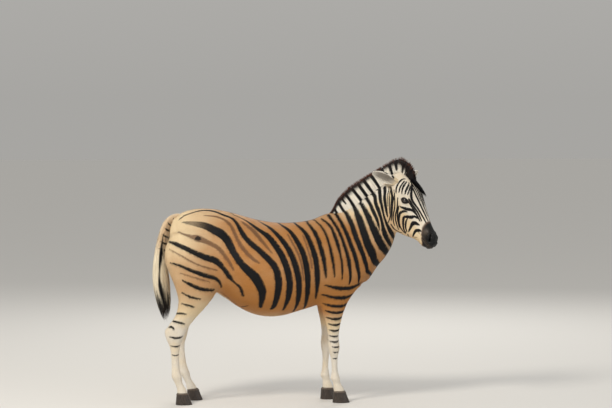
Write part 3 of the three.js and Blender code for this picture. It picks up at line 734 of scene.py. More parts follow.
# Black stripes of the head, on both sides: along, up, side and half width, in the head's frame
FACE_STRIPES = {
    "rear_cheek_1": [(43, -45, -86, 5), (90, -77, -97, 4), (148, -118, -95, 3)],
    "rear_cheek_2": [(118, -48, -96, 4), (177, -98, -92, 5), (238, -160, -77, 4)],
    "rear_cheek_3": [(102, -27, -93, 4), (176, -75, -92, 5), (228, -134, -81, 5), (276, -166, -63, 4)],
    "rear_cheek_4": [(145, -25, -95, 4), (199, -71, -89, 6), (240, -123, -79, 5), (312, -160, -53, 4)],
    "rear_cheek_5": [(193, -49, -91, 4), (241, -104, -80, 6), (306, -144, -60, 4)],
    "rear_cheek_6": [(66, -42, -92, 3), (130, -90, -96, 4), (196, -140, -86, 3)],
    "rear_cheek_7": [(84, -20, -91, 3), (120, -40, -95, 3), (150, -72, -95, 4), (206, -124, -86, 3)],
    "brow_1": [(108, -17, -92, 5), (79, 3, -87, 6), (59, 32, -75, 6), (51, 54, -60, 6), (55, 69, -45, 4)],
    "brow_2": [(119, 1, -91, 4), (94, 26, -85, 6), (70, 63, -59, 5)],
    "brow_3": [(135, 17, -93, 5), (105, 42, -81, 7), (80, 72, -51, 5)],
    "brow_4": [(155, 40, -101, 6), (126, 59, -75, 8), (108, 74, -54, 6), (93, 79, -42, 4)],
    "brow_5": [(169, 54, -96, 4), (143, 69, -70, 5), (119, 79, -49, 4)],
    "nose_1": [
        (113, 85, -30, 9), (149, 77, -57, 8), (182, 65, -75, 10), (217, 51, -74, 8),
        (280, 45, -50, 6), (355, 38, -34, 5), (382, 35, -31, 4),
    ],
    "nose_2": [
        (126, 88, -42, 6), (180, 81, -44, 7), (230, 73, -37, 7), (325, 56, -21, 6),
        (375, 48, -13, 4),
    ],
    "forehead": [(88, 86, -24, 5), (130, 88, -25, 6), (176, 82, -24, 5), (236, 73, -20, 3)],
    "under_eye_1": [(198, 41, -91, 6), (231, 35, -76, 6), (296, 30, -52, 6), (358, 20, -44, 4)],
    "under_eye_2": [(209, 27, -86, 5), (285, 20, -62, 6), (353, 11, -49, 4)],
    "lid_band": [(204, -44, -91, 6), (240, -14, -85, 11), (272, 13, -68, 8), (325, 17, -52, 4)],
    "cheek_1": [
        (362, -133, -48, 3), (332, -136, -57, 5), (303, -132, -64, 6), (278, -121, -70, 7),
        (248, -93, -79, 8), (235, -68, -83, 9), (242, -41, -84, 8), (258, -21, -82, 4),
    ],
    "cheek_2": [
        (361, -126, -52, 5), (326, -117, -63, 7), (277, -75, -75, 9), (278, -52, -75, 9),
        (300, -24, -74, 12), (309, 0, -64, 8), (331, 10, -54, 5),
    ],
    "cheek_2_inner": [(290, -44, -73, 4), (303, -74, -67, 6), (329, -99, -63, 6), (360, -112, -55, 4)],
    "cheek_3": [(365, -100, -55, 5), (342, -51, -60, 12), (345, -26, -62, 14), (371, -7, -52, 5)],
    "cheek_4": [(408, -101, -43, 4), (390, -57, -53, 10), (398, -31, -52, 10), (412, -20, -49, 5)],
    "chin_1": [(375, -118, -50, 4), (387, -130, -35, 4), (400, -126, -19, 3)],
    "chin_2": [(418, -92, -44, 3), (431, -75, -48, 2)],
    "poll": [(60, 80, 6, 8), (125, 88, 0, 5)],
}
# Stripes near the middle of the face, drawn once
NOSE_STRIPES = {
    "nose_3": [(118, 90, -8, 6), (180, 86, -6, 7), (249, 74, -5, 7), (342, 56, 3, 4)],
    "nose_4": [(160, 88, 24, 5), (212, 80, 26, 7), (300, 61, 28, 4)],
    "forehead_mid": [(122, 90, 9, 5), (180, 86, 10, 6), (228, 77, 10, 5), (270, 69, 9, 3)],
    "forehead_left": [(90, 86, 22, 6), (130, 84, 34, 6), (165, 72, 56, 5)],
}
# Where the muzzle's dark skin begins along the head, by height in the head's frame
MUZZLE_EDGE = ((-95, -60, -35, 0, 36), (504, 480, 438, 402, 384))
MUZZLE_FADE = 30.0
LID_DARK = (6.5, 12.0)  # the lids are dark to the first distance from the slit and pale from the second
WORN_PLACE = ((-700, 1198), 75)  # the widest stripe is grey with pale hairs round here, in x and z
BODY_EDGE, HEAD_EDGE = 1.4, 0.7  # how sharp the stripes' edges are, in millimetres
STRIPE_REACH = 30.0  # stripes further than this from a place don't count there
MISSED = 6.0  # a point that ends this far from its drawn place has passed its leg by
# The stripes along the middle of her back and belly: places in x, a height near them, the way to the skin,
# how far back the points start, and the half widths at some of the places
BACK_STRIPE = (np.arange(-770, 216, 10.0), 1300, (0, 0, -1), 200.0, ((-770, -500, 100, 215), (4, 8, 9, 7)))
BELLY_STRIPE = (np.arange(-480, 300, 12.0), 600, (0, 0, 1), 400.0, ((-480, -400, 200, 300), (3, 8, 9, 3)))


def dropped(points, direction, reach=900.0, rounds=90, share=0.75, least=0.4, met=0.3):
    """Moves points along a direction until they meet the skin; those that pass it by stop at their nearest.

    In each round a point that hasn't met the skin goes on by a share of its distance, but at least by least.
    """
    direction = np.array(direction, float)
    p = points - direction * reach
    best, best_value = p.copy(), np.full(len(p), 1e9)
    for _ in range(rounds):
        value = flesh_field(p)
        closer = value < best_value
        best[closer], best_value[closer] = p[closer], value[closer]
        p = p + direction * np.maximum(value * share, least)[:, None] * (value > met)[:, None]
    return settle(skin_field, best, 3)


def sway(place, length, height, start=0.0):
    """A wave of this height along the places. Its angle grows by 1 over the length."""
    return height * np.sin(place / length + start)


def side_path(stroke, hand, leg=None):
    """A stripe drawn in x and z, laid on her right (hand -1) or left side. The left one wanders a little."""
    path = curve_through(stroke)
    x, z, width = path.T
    if hand > 0:
        off_legs = np.clip((z - 500) / 300, 0, 1)
        x, z = x + off_legs * (sway(z, 97, 13, 1.3) + sway(x, 130, 8)), z + sway(x, 88, 9, 0.7)
        width = width * (1 + sway(x, 61, 0.14))
    if leg is not None:
        x = x + stride_at(leg, z)
    place = np.stack([x, np.zeros(len(x)), z], 1)
    path = np.column_stack([dropped(place, (0, -hand, 0)), width])
    if leg is not None:  # the ends that pass the leg by are cut off
        met = np.linalg.norm((path[:, :3] - place)[:, [0, 2]], axis=1) < MISSED
        path = path[met] if met.sum() > 1 else path
    return path


def leg_band(height, front, rear, half):
    """A band across a leg that dips behind its front edge and thins out at both ends."""
    long = front - rear
    ends = 0.4 * half
    return [
        (front, height + 0.12 * long, ends),
        (front - 0.3 * long, height, half),
        (front - 0.65 * long, height, half),
        (rear, height + 0.08 * long, ends),
    ]


def face_path(stroke, hand):
    """A stripe of the head, drawn on its right side. The left one wanders a little."""
    path = curve_through(stroke, 5.0)
    q = path[:, :3].copy()
    if hand > 0:
        q[:, 2] *= -1
        q[:, 0] += sway(q[:, 1], 22, 3)
        q[:, 1] += sway(q[:, 0], 27, 2.5)
    return np.column_stack([settle(skin_field, HEAD.world(q), 4), path[:, 3]])


def middle_path(x, z, way, reach, widths):
    """A stripe along the middle of her back or belly."""
    place = np.stack([x, np.zeros(len(x)), np.full(len(x), float(z))], 1)
    return np.column_stack([dropped(place, way, reach), np.interp(x, *widths)])


def to_spine(path, back=26, up=14, count=8):
    """Carries a stripe's upper end on to the middle of the back."""
    x, _, z, width = path[0]
    step = np.arange(count)[:, None] / count
    start = np.array([[x - back, 0, z + up]])
    place = start + (path[:1, :3] - start) * step
    return np.vstack([np.column_stack([settle(skin_field, place, 4), np.full(count, width)]), path])


def to_throat(path, ahead=50, down=45, count=16):
    """Carries a stripe's lower end on to the middle of the neck's front, further right the higher it is."""
    x, _, z, width = path[-1]
    step = np.linspace(0, 1, count + 1)[1:, None]
    middle = np.array([[x + ahead, -0.12 * max(z - 940, 0), z - down]])
    place = path[-1:, :3] + (middle - path[-1:, :3]) * step
    return np.vstack([path, np.column_stack([settle(skin_field, place, 5), width * (1 - 0.45 * step[:, 0])])])


def side_paths(hand):
    """The black and the brown stripes of one side."""
    hind, fore = [leg for leg in LEGS if leg["hand"] == hand]
    black = []
    for name, stroke in SIDE_STRIPES.items():
        path = side_path(stroke, hand, hind if name in LEG_MARKS else None)
        path = to_spine(path) if name in TO_SPINE else path
        black.append(to_throat(path) if name in TO_THROAT else path)
    if hand > 0:
        black += [side_path(stroke, hand) for stroke in LEFT_STRIPES.values()]
    black += [side_path(leg_band(*band), hand, fore) for band in FORELEG_BANDS]
    black += [side_path(leg_band(*band), hand, hind) for band in HINDLEG_BANDS]
    black += [face_path(stroke, hand) for stroke in FACE_STRIPES.values()]
    return black, [side_path(stroke, hand) for stroke in SHADOW_STRIPES.values()]


def near_path(points, path, reach):
    """The numbers of the points in the box round a path."""
    margin = path[:, 3].max() + reach
    low, high = path[:, :3].min(0) - margin, path[:, :3].max(0) + margin
    return np.flatnonzero(((points > low) & (points < high)).all(1))


def deepest(points, path, reach, window=6):
    """How deep each point lies in a stripe (below 0 outside it), and in which of its straight pieces."""
    depth, piece = np.full(len(points), -reach), np.full(len(points), -1)
    for start in range(0, len(path) - 1, window):
        part = path[start : start + window + 1]
        near = near_path(points, part, reach)
        for step, (a, b) in enumerate(zip(part, part[1:])):
            away, t = segment_distance(points[near], a[:3], b[:3])
            here = a[3] + (b[3] - a[3]) * t - away
            deeper = here > depth[near]
            depth[near[deeper]] = here[deeper]
            piece[near[deeper]] = start + step
    return depth, piece


class Stripes:
    """Stripes laid on the skin, their straight pieces numbered one after another."""

    def __init__(self, paths):
        counts = [len(path) - 1 for path in paths]
        self.paths = paths
        self.offset = np.cumsum([0] + counts[:-1])
        self.first = np.repeat(self.offset, counts)
        self.last = self.first + np.repeat(counts, counts) - 1
        self.start = np.concatenate([path[:-1] for path in paths])
        self.end = np.concatenate([path[1:] for path in paths])

    def nearest(self, points):
        """How deep each point is in its two nearest stripes, and in which piece of them (-1 for none)."""
        depths = np.full((2, len(points)), -STRIPE_REACH)
        pieces = np.full((2, len(points)), -1)
        for offset, path in zip(self.offset, self.paths):
            near = near_path(points, path, STRIPE_REACH)
            depth, piece = deepest(points[near], path, STRIPE_REACH)
            first = depth > depths[0, near]
            i = near[first]
            depths[1, i], pieces[1, i] = depths[0, i], pieces[0, i]
            depths[0, i], pieces[0, i] = depth[first], piece[first] + offset
            second = ~first & (depth > depths[1, near])
            i = near[second]
            depths[1, i], pieces[1, i] = depth[second], piece[second] + offset
        return depths, pieces

    def across(self, points, normals, pieces):
        """Each point's distance from its stripe's middle line, signed by side, and the stripe's half width.

        Past the stripe's end the half width shrinks by the distance past it.
        """
        known = np.flatnonzero(pieces >= 0)
        p, n, own = points[known], normals[known], pieces[known]
        best, signed, wide = np.full(len(p), np.inf), np.zeros(len(p)), np.zeros(len(p))
        for shift in (-2, -1, 0, 1, 2):
            i = np.clip(own + shift, self.first[own], self.last[own])
            a, b = self.start[i], self.end[i]
            along = b[:, :3] - a[:, :3]
            size = np.linalg.norm(along, axis=1)
            t = ((p - a[:, :3]) * along).sum(1) / size**2
            held = np.clip(t, 0, 1)
            off = p - a[:, :3] - along * held[:, None]
            away = np.linalg.norm(off, axis=1)
            past = np.maximum(-t, 0) * (i == self.first[own]) + np.maximum(t - 1, 0) * (i == self.last[own])
            closer = away < best
            best[closer] = away[closer]
            signed[closer] = (off * unit(np.cross(n, along))).sum(1)[closer]
            wide[closer] = (a[:, 3] + (b[:, 3] - a[:, 3]) * held - past * size)[closer]
        result = np.zeros(len(points)), np.full(len(points), -STRIPE_REACH)
        result[0][known], result[1][known] = signed, wide
        return result


def unit(v):
    return v / np.maximum(np.linalg.norm(v, axis=-1, keepdims=True), 1e-9)


def all_stripes():
    """The black stripes of all of her, and the brown ones."""
    right, left = side_paths(-1), side_paths(1)
    middle = [middle_path(*BACK_STRIPE), middle_path(*BELLY_STRIPE)]
    nose = [face_path(stroke, -1) for stroke in NOSE_STRIPES.values()]
    return Stripes(middle + nose + right[0] + left[0]), Stripes(right[1] + left[1])


BLACK, BROWN = all_stripes()


# For the nearest black stripe, the next black one and the brown one: how far across it, and its half width
STRIPE_KEYS = ("black", "black_wide", "next", "next_wide", "brown", "brown_wide")


def corner_stripes(points, groups):
    """The stripes at every corner of every face. A face follows the two stripes nearest its middle, so that
    their edges stay sharp and even inside it."""
    found = {key: [] for key in STRIPE_KEYS}
    for group in groups:
        corners = points[group]
        count = group.shape[1]
        middle = corners.mean(1)
        facing = unit(np.cross(corners[:, 2] - corners[:, 0], corners[:, -1] - corners[:, 1]))
        normal = np.repeat(facing, count, 0)
        place = corners.reshape(-1, 3)
        pieces = BLACK.nearest(middle)[1]
        for key, own in (("black", pieces[0]), ("next", pieces[1])):
            across, wide = BLACK.across(place, normal, np.repeat(own, count))
            found[key].append(across)
            found[key + "_wide"].append(wide)
        across, wide = BROWN.across(place, normal, np.repeat(BROWN.nearest(middle)[1][0], count))
        found["brown"].append(across)
        found["brown_wide"].append(wide)
    return {key: np.concatenate(value) for key, value in found.items()}


def even_stripes(black, brown=None):
    """The same six values for places where each tuft or point has one depth in black and brown."""
    none = np.zeros(len(black))
    far = np.full(len(black), -STRIPE_REACH)
    return dict(zip(STRIPE_KEYS, (none, black, none, far, none, far if brown is None else brown)))


def tuft_stripes(roots):
    return even_stripes(BLACK.nearest(roots)[0][0], BROWN.nearest(roots)[0][0])


def smooth_step(value, low, high):
    """0 up to low, 1 from high on, and smooth between them."""
    return eased(np.clip((value - low) / (high - low), 0, 1))


def on_head(points):
    """1 on the head and 0 on the neck and body."""
    return smooth_step(np.minimum(trunk_form(points), neck_form(points)) - head_only(points), -10, 10)


def below(value, top, fade):
    """0 above the top, 1 from so far below it on, and smooth between them."""
    return smooth_step(top - value, 0, fade)


def tan_at(points, head):
    """How warm the ground colour is, from 0 (white) by 0.3 (cream) to 1 (tan).

    The rump is cream and the barrel tan, a little paler at the back and warmer at the belly. The thighs' rear,
    the throat and the jaw are warmer than what is round them. The crest, the legs and the groin are paler.
    """
    x, y, z = points.T
    forward = smooth_step(x, -880, -400)  # 0 at the tail and 1 on the barrel
    back = smooth_step(z, 1150, 1270)
    tan = 0.26 + 0.6 * forward - 0.16 * back * forward
    tan = tan + 0.36 * below(z, 1150, 300) * (1 - forward) + 0.14 * below(z, 900, 260) * forward
    slope = 0.3 * (x + 700) * (x < -380)  # the pale leg reaches higher at its front
    hind_leg = smooth_step(820 - z + slope, 0, 260) * below(x, -470, 120)
    tan = tan * (1 - 0.6 * hind_leg)
    neck = smooth_step(x + 0.8 * (z - 1200), 300, 520)
    throat = smooth_step(1380 - z + 0.35 * (x - 480), 0, 260)
    tan = tan * (1 - neck) + neck * (0.18 + 0.42 * throat)
    along, above = NECK.local(points)[:, :2].T
    crest = smooth_step(above - np.interp(along, *np.array(NECK_ROWS).T[:2]), -90, -15)
    tan = tan * (1 - 0.75 * crest * neck)
    jaw = below(HEAD.local(points)[:, 1], 0, 120)
    tan = tan * (1 - head) + head * (0.09 + 0.42 * jaw)
    lower_legs = below(z, 680, 240)
    tan = tan * (1 - lower_legs) + 0.1 * lower_legs
    groin = below(np.abs(y), 110, 60) * below(z, 820, 120) * below(x, -380, 100)
    return tan * (1 - 0.6 * groin)


def spot(points, place, reach):
    """1 at the place, fading to nothing round it."""
    return np.exp(-((points - place) ** 2).sum(1) / reach**2)


def ground_marks(points):
    """What the coat's colour depends on besides its stripes, at places on the skin."""
    head = on_head(points)
    q = mirrored_head(points)
    start = np.interp(q[:, 1], *MUZZLE_EDGE)
    dark = np.clip((q[:, 0] - start) / MUZZLE_FADE + 0.5, 0, 1) * (head > 0.5)
    eye = q - EYE_AT
    lids = smooth_step(-slit_distance(eye), -LID_DARK[1], -LID_DARK[0]) * (np.linalg.norm(eye, axis=1) < 60)
    lips = smooth_step(-from_line(q, MOUTH_LINE), -20, -6)
    chin = smooth_step(-q[:, 1], 58, 86)
    return dict(
        tan=tan_at(points, head),
        dark=np.maximum(dark, lids),
        flush=np.clip(0.8 * spot(q, *NOSTRIL_BACK) + 0.35 * (lips + chin), 0, 0.8) * (dark > 0.3),
        worn=spot(points[:, [0, 2]], *WORN_PLACE),
        edge=BODY_EDGE + (HEAD_EDGE - BODY_EDGE) * head,
    )


def give(piece, domain="POINT", **values):
    """Stores numbers or vectors on a piece's mesh under each name."""
    for name, value in values.items():
        value = np.asarray(value, np.float32)
        kind, field = ("FLOAT_VECTOR", "vector") if value.ndim == 2 else ("FLOAT", "value")
        piece.data.attributes.new(name, kind, domain).data.foreach_set(field, value.ravel())


# ---------------------------------------------------------------- meshes from arrays
def grouped(faces):
    """Faces as one array for each number of corners."""
    by_size = {}
    for face in faces:
        by_size.setdefault(len(face), []).append(face)
    return [np.array(group) for group in by_size.values()]


def add_object(name, data):
    thing = bpy.data.objects.new(name, data)
    bpy.context.scene.collection.objects.link(thing)
    return thing


def make_piece(name, points, groups, uv=None):
    """A smooth piece from points in the drawing's millimetres, arrays of faces and the points' UV places."""
    mesh = bpy.data.meshes.new(name)
    corners = np.concatenate([g.ravel() for g in groups]).astype(np.int32)
    sizes = np.concatenate([np.full(len(g), g.shape[1]) for g in groups])
    mesh.vertices.add(len(points))
    mesh.vertices.foreach_set("co", metres(points).astype(np.float32).ravel())
    mesh.loops.add(len(corners))
    mesh.loops.foreach_set("vertex_index", corners)
    mesh.polygons.add(len(sizes))
    mesh.polygons.foreach_set("loop_start", (np.cumsum(sizes) - sizes).astype(np.int32))
    mesh.polygons.foreach_set("use_smooth", np.ones(len(sizes), bool))
    mesh.update(calc_edges=True)
    if uv is not None:
        mesh.uv_layers.new(name="OFBake").data.foreach_set("uv", uv[corners].astype(np.float32).ravel())
    piece = add_object(name, mesh)
    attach(piece, "root")
    return piece


def ring_faces(rings, sides, closed=True):
    """Quads between rings of points that follow each other."""
    i, j = np.meshgrid(np.arange(rings - 1), np.arange(sides if closed else sides - 1), indexing="ij")
    a = i * sides + j
    b = i * sides + (j + 1) % sides
    return np.stack([a, b, b + sides, a + sides], -1).reshape(-1, 4)


# ---------------------------------------------------------------- the lie of the coat
def parts_at(points):
    """The distance to each form: trunk, neck, head, then the four legs."""
    return np.stack([form(points) for form in [trunk_form, neck_form, head_only] + leg_forms], 1)


# The way the hair lies on each form, and over how many millimetres one way passes into the next
TRUNK_LIE = (-1, 0, -0.4)
NECK_LIE = -NECK.axes[0] - np.array([0, 0, 0.3])
HEAD_LIE = HEAD.axes[0] - 0.25 * HEAD.axes[1]
LEG_LIE = (-0.15, 0, -1)
LIES = np.array([TRUNK_LIE, NECK_LIE, HEAD_LIE] + [LEG_LIE] * 4)
LIE_BLEND = 22


def lie_at(points):
    """The way the hair lies."""
    away = parts_at(points)
    weight = np.exp(-(away - away.min(1, keepdims=True)) / LIE_BLEND)
    return unit(weight @ unit(LIES) / weight.sum(1, keepdims=True))


# Each part's strip on the map: its frame, the height of its middle line, the strip's ends along the part, and
# the strip's corner and size. A leg's middle line comes from its rows
STRIPS = [
    (BODY, 940.0, (-880, 480), (0.0, 0.0, 1.0, 0.4)),
    (NECK, -60.0, (40, 700), (0.0, 0.42, 0.48, 0.2)),
    (HEAD, -60.0, (-10, 545), (0.52, 0.42, 0.48, 0.2)),
] + [(LEG, None, (40, 900), (0.0, 0.64 + 0.09 * i, 1.0, 0.08)) for i in range(4)]


def leg_middle(leg, z):
    """The leg's middle at each height, forward and to her left."""
    front, rear, side = smooth_rows(leg["rows"])(z)[:3]
    return (front + rear) / 2 + stride_at(leg, z), leg["hand"] * side


def unwrapped(points):
    """Each place on the skin laid flat: along its part and round it, one strip for each part."""
    part = np.argmin(parts_at(points), 1)
    uv = np.zeros((len(points), 2))
    for number, (frame, level, (start, end), (left, low, long, high)) in enumerate(STRIPS):
        chosen = part == number
        along, up, side = frame.local(points[chosen]).T
        middle = (level, 0.0) if frame is not LEG else leg_middle(LEGS[number - 3], along)
        turn = np.arctan2(side - middle[1], up - middle[0]) / (2 * np.pi) + 0.5
        reach = np.clip((along - start) / (end - start), 0, 1)
        uv[chosen] = np.column_stack([left + long * reach, low + high * turn])
    return uv


PATCH = 0.003  # how wide a tuft's patch is on its piece's map
MAP_EDGE = 0.01  # how far from the map's edges the patches stay


def locks(name, centre, width, side, fold, place, marks):
    """A piece of many thin tapering locks. Each follows its row of centre points, root first, to a sharp tip.

    width is half the lock's width at each point but the tip. fold raises its middle line by that part of the
    width, along the normal that side and the way of the lock give. place is each root's place on the map.
    """
    n, k = centre.shape[:2]
    body = centre[:, :-1]
    edge = side[:, None, :] * width[:, :, None]
    lines = [body - edge, body + edge]
    if fold:
        up = unit(np.cross(side[:, None, :], unit(centre[:, 1:] - body))) * np.sign(fold)
        lines.insert(1, body + up * width[:, :, None] * abs(fold))
    across = len(lines)
    each = (k - 1) * across + 1
    points = np.concatenate([np.stack(lines, 2).reshape(n, -1, 3), centre[:, -1:]], 1).reshape(-1, 3)
    first = np.arange(each - 1).reshape(k - 1, across)[:, :-1]
    quads = [[a, a + 1, a + across + 1, a + across] for a in first[:-1].ravel()]
    tips = [[a, a + 1, each - 1] for a in first[-1]]
    start = (np.arange(n) * each)[:, None, None]
    groups = [(start + np.array(faces)[None]).reshape(-1, len(faces[0])) for faces in (quads, tips)]
    flat = [(row / (k - 1), column / (across - 1)) for row in range(k - 1) for column in range(across)]
    flat = np.array(flat + [(1, 0.5)]) - 0.5
    low, high = place.min(0), place.max(0)
    place = MAP_EDGE + (1 - 2 * MAP_EDGE) * (place - low) / np.maximum(high - low, 1e-6)
    piece = make_piece(name, points, groups, (place[:, None, :] + flat[None] * PATCH).reshape(-1, 2))
    for key, value in marks.items():
        value = np.asarray(value)
        if value.ndim >= 2 and value.shape[1] == k:  # one value for each point along the lock
            rows = np.repeat(value[:, :-1], across, 1)
            give(piece, **{key: np.concatenate([rows, value[:, -1:]], 1).reshape(-1)})
        else:
            give(piece, **{key: np.repeat(value, each, 0)})
    return piece


def tapered(widths, shape):
    """Half widths along locks: each lock's own, times its shape from the root on."""
    return widths[:, None] * np.array(shape)[None]


def spaced(start, end, k):
    """k places from each lock's start to its end."""
    return start[:, None] + (end - start)[:, None] * np.linspace(0, 1, k)[None]


def plain_marks(shape, ink, tint):
    """The marks of hair of one colour, dark where ink is above 0, with no dark tips."""
    return dict(ink=np.full(shape, ink), tips=np.full(shape, -20.0), tint=tint, warm=np.zeros(shape))


# ---------------------------------------------------------------- the skin
SKIN_LOW, SKIN_HIGH = (-960, -340, 40), (960, 330, 1570)
HEAD_LOW, HEAD_HIGH = (-20, -240, -1), (560, 125, 125)  # the head's box, both sides folded onto one
DETAIL = ((44, 11, 20), (33, 6, 13))  # quads nearer to the eye, mouth or nostril than this are halved again
LID_SNAP = 0.8  # a point this near to the edge of the lids is moved onto it
LIDS_REACH = EYE_RADIUS + 2.5 * LID  # how far from the eye's middle the lids are shaped
SUNK = 3  # how far under the eyeball's surface the skin between the lids lies


def in_head_box(points):
    q = mirrored_head(points)
    return ((q > HEAD_LOW) & (q < HEAD_HIGH)).all(1)


def face_distances(points):
    """The distances from the eye's middle and from the mouth's and the nostril's line."""
    q = mirrored_head(points)
    return np.linalg.norm(q - EYE_AT, axis=1), from_line(q, MOUTH_LINE), from_line(q, NOSTRIL_LINE)


def make_skin():
    points, faces = surface_net(skin_field, SKIN_LOW, SKIN_HIGH, BODY_CELL)
    faces = faces.tolist()
    points, faces = refined(points, faces, in_head_box(centres_of(points, faces)))
    for reach in DETAIL:
        away = face_distances(centres_of(points, faces))
        points, faces = refined(points, faces, np.any([a < r for a, r in zip(away, reach)], 0))
    head = in_head_box(points)
    points[~head] = settle(skin_field, points[~head], 2)
    points[head] = pressed(settle(face_field, points[head], 4))
    return shape_lids(points), faces


def shape_lids(points):
    """Moves points onto the edges of the lids and sinks those between them behind the eyeball's front."""
    q = HEAD.local(points)
    hand = np.sign(q[:, 2])
    q[:, 2] = np.abs(q[:, 2])
    eye = q - EYE_AT
    front = (np.linalg.norm(eye, axis=1) < LIDS_REACH) & (eye[:, 2] > 4)
    slit = np.where(front, slit_at(eye), 99.0)
    slope = slit_slope(eye)
    size = np.maximum((slope * slope).sum(1), 0.1)
    snapped = np.abs(slit) / np.sqrt(size) < LID_SNAP
    eye[snapped, :2] -= (slope * (slit / size)[:, None])[snapped]
    sunk = (slit < 0) & ~snapped
    eye[sunk] = unit(eye[sunk]) * (EYE_RADIUS - SUNK)
    q = eye + np.array(EYE_AT, float)
    q[:, 2] *= hand
    moved = snapped | sunk
    points = points.copy()
    points[moved] = HEAD.world(q[moved])
    return points


skin_points, skin_faces = make_skin()
skin_groups = grouped(skin_faces)
skin = make_piece("skin", skin_points, skin_groups)


def strand_at(points, way, squeeze=0.86):
    """Places squeezed along the lie of the hair, so that noise on them looks like strands."""
    return (points - squeeze * (points * way).sum(1, keepdims=True) * way) / 1000.0


give(skin, strand=strand_at(skin_points, lie_at(skin_points)), **ground_marks(skin_points))
give(skin, "CORNER", **corner_stripes(skin_points, skin_groups))
flesh_nodes = ["barrel", "hindquarters", "shoulders", "neck", "head"]
for leg in LEGS:
    flesh_nodes += [leg["name"] + "_upper_leg", leg["name"] + "_lower_leg"]
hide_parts(*flesh_nodes)


# ---------------------------------------------------------------- eyes
IRIS = 0.62  # the iris's radius as part of the eyeball's
PUPIL = (0.42, 0.24)  # half the pupil's length and height


def make_eye(side, hand, rings=25, sides=40):
    tilt = np.linspace(0, math.pi, rings)[:, None]
    turn = np.linspace(0, 2 * math.pi, sides, endpoint=False)[None]
    wide = np.sin(tilt)
    ball = np.stack([wide * np.cos(turn), wide * np.sin(turn), np.cos(tilt) * np.ones_like(turn)], -1)
    ball = ball.reshape(-1, 3)
    ball[:, 2] *= hand
    points = HEAD.world(np.array([EYE_AT[0], EYE_AT[1], hand * EYE_AT[2]]) + ball * EYE_RADIUS)
    piece = make_piece(side + "_eyeball", points, [ring_faces(rings, sides)[:, ::hand]])
    long, high = ball[:, 0], ball[:, 1]
    pupil = np.hypot(long / PUPIL[0], high / PUPIL[1])
    give(piece, iris=np.hypot(long, high) / IRIS, pupil=np.where(ball[:, 2] * hand > 0, pupil, 9))
    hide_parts(side + "_eye")
    return piece


eyes = [make_eye(*side) for side in SIDES]

LASHES = 90
LASH_SPAN = (-0.85, 0.8)  # the part of the upper lid that has lashes, from its middle
LASH_LENGTH = (9, 15)
LASH_SWEEP = (9.0, -4.0, 14.0)  # how the lashes are swept forward, down and outwards
LASH_SAG = 2.5  # how far the tips hang down


def make_lashes(side, hand):
    """Straight dark lashes along the upper lid, slanting outwards and down."""
    n, k = LASHES, 4
    half, above, _ = EYE_SLIT
    across = rng.uniform(*LASH_SPAN, n)
    along, height = across * half, above * (1 - across**2) + rng.uniform(0.3, 2.5, n)
    x = math.cos(EYE_TURN) * along - math.sin(EYE_TURN) * height
    y = math.sin(EYE_TURN) * along + math.cos(EYE_TURN) * height
    out = np.sqrt((EYE_RADIUS + LID) ** 2 - x**2 - y**2)
    root = np.stack([x, y, out], 1)
    way = unit(root + LASH_SWEEP + rng.normal(0, 3, root.shape))
    part = np.linspace(0, 1, k)[None, :, None]
    centre = root[:, None] - way[:, None] + way[:, None] * part * rng.uniform(*LASH_LENGTH, n)[:, None, None]
    centre[:, :, 1] -= LASH_SAG * part[:, :, 0] ** 2
    centre = centre + np.array(EYE_AT, float)
    centre[:, :, 2] *= hand
    width = tapered(np.full(n, 0.45), (1, 0.9, 0.7))
    side_way = np.broadcast_to(HEAD.axes[0], (n, 3))
    marks = plain_marks((n, k), 9.0, rng.random(n))
    place = np.column_stack([across, rng.random(n)])
    piece = locks(side + "_lashes", HEAD.world(centre), width, side_way, 0, place, marks)
    return piece


lashes = [make_lashes(*side) for side in SIDES]


# ---------------------------------------------------------------- hooves
# How far the hoof reaches past the leg on the ground at the toe, the heel and each side, and all round
HOOF_TOE = 27
HOOF_HEEL = 6
HOOF_FLARE = 10
HOOF_RIM = 3
HOOF_RINGS = ((0, 4, 36, 62, 72), (1, 0.97, 0.46, 0.1, 0))  # heights, and the part of that reach at each
HOOF_TRIM = ((0, 1.5, 4, 64, 69, 71, 75, 78), (3, 1.2, 1, 0.6, -0.4, 0.4, 4, 7))  # and what comes off
GROWTH_RINGS = (0.45, 0.95)  # the depth of the wall's fine rings, and how fast they follow each other


def make_hoof(leg, sides=48):
    wall = np.linspace(4, HOOF_HEIGHT - 4, 24)
    z = np.concatenate([[0, 1.5], wall, [HOOF_HEIGHT - 1, HOOF_HEIGHT + 3, HOOF_HEIGHT + 6]])
    grow = np.interp(z, *HOOF_RINGS)
    trim = np.interp(z, *HOOF_TRIM) + GROWTH_RINGS[0] * np.cos(z * GROWTH_RINGS[1]) * (z < 60) * (z > 3)
    _, front, rear, y, half, _ = leg["rows"][0]
    toe = front + leg["stride"] + HOOF_RIM + HOOF_TOE * grow - trim
    heel = rear + leg["stride"] - HOOF_RIM - HOOF_HEEL * grow + trim
    turn = np.linspace(0, 2 * math.pi, sides, endpoint=False)[None]
    blunt = np.sign(np.cos(turn)) * np.abs(np.cos(turn)) ** 0.8
    x = ((toe + heel) / 2)[:, None] + ((toe - heel) / 2)[:, None] * blunt
    across = (half + HOOF_RIM + HOOF_FLARE * grow - trim)[:, None] * np.sin(turn)
    points = np.stack([x, leg["hand"] * y + across, np.broadcast_to(z[:, None], x.shape)], -1).reshape(-1, 3)
    faces = ring_faces(len(z), sides)
    sole = np.arange(sides)[None, ::-1]
    piece = make_piece(leg["name"] + "_horn", points, [faces, sole])
    give(piece, rise=np.repeat(z / HOOF_HEIGHT, sides))
    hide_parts(leg["name"] + "_hoof")
    return piece


hooves = [make_hoof(leg) for leg in LEGS]

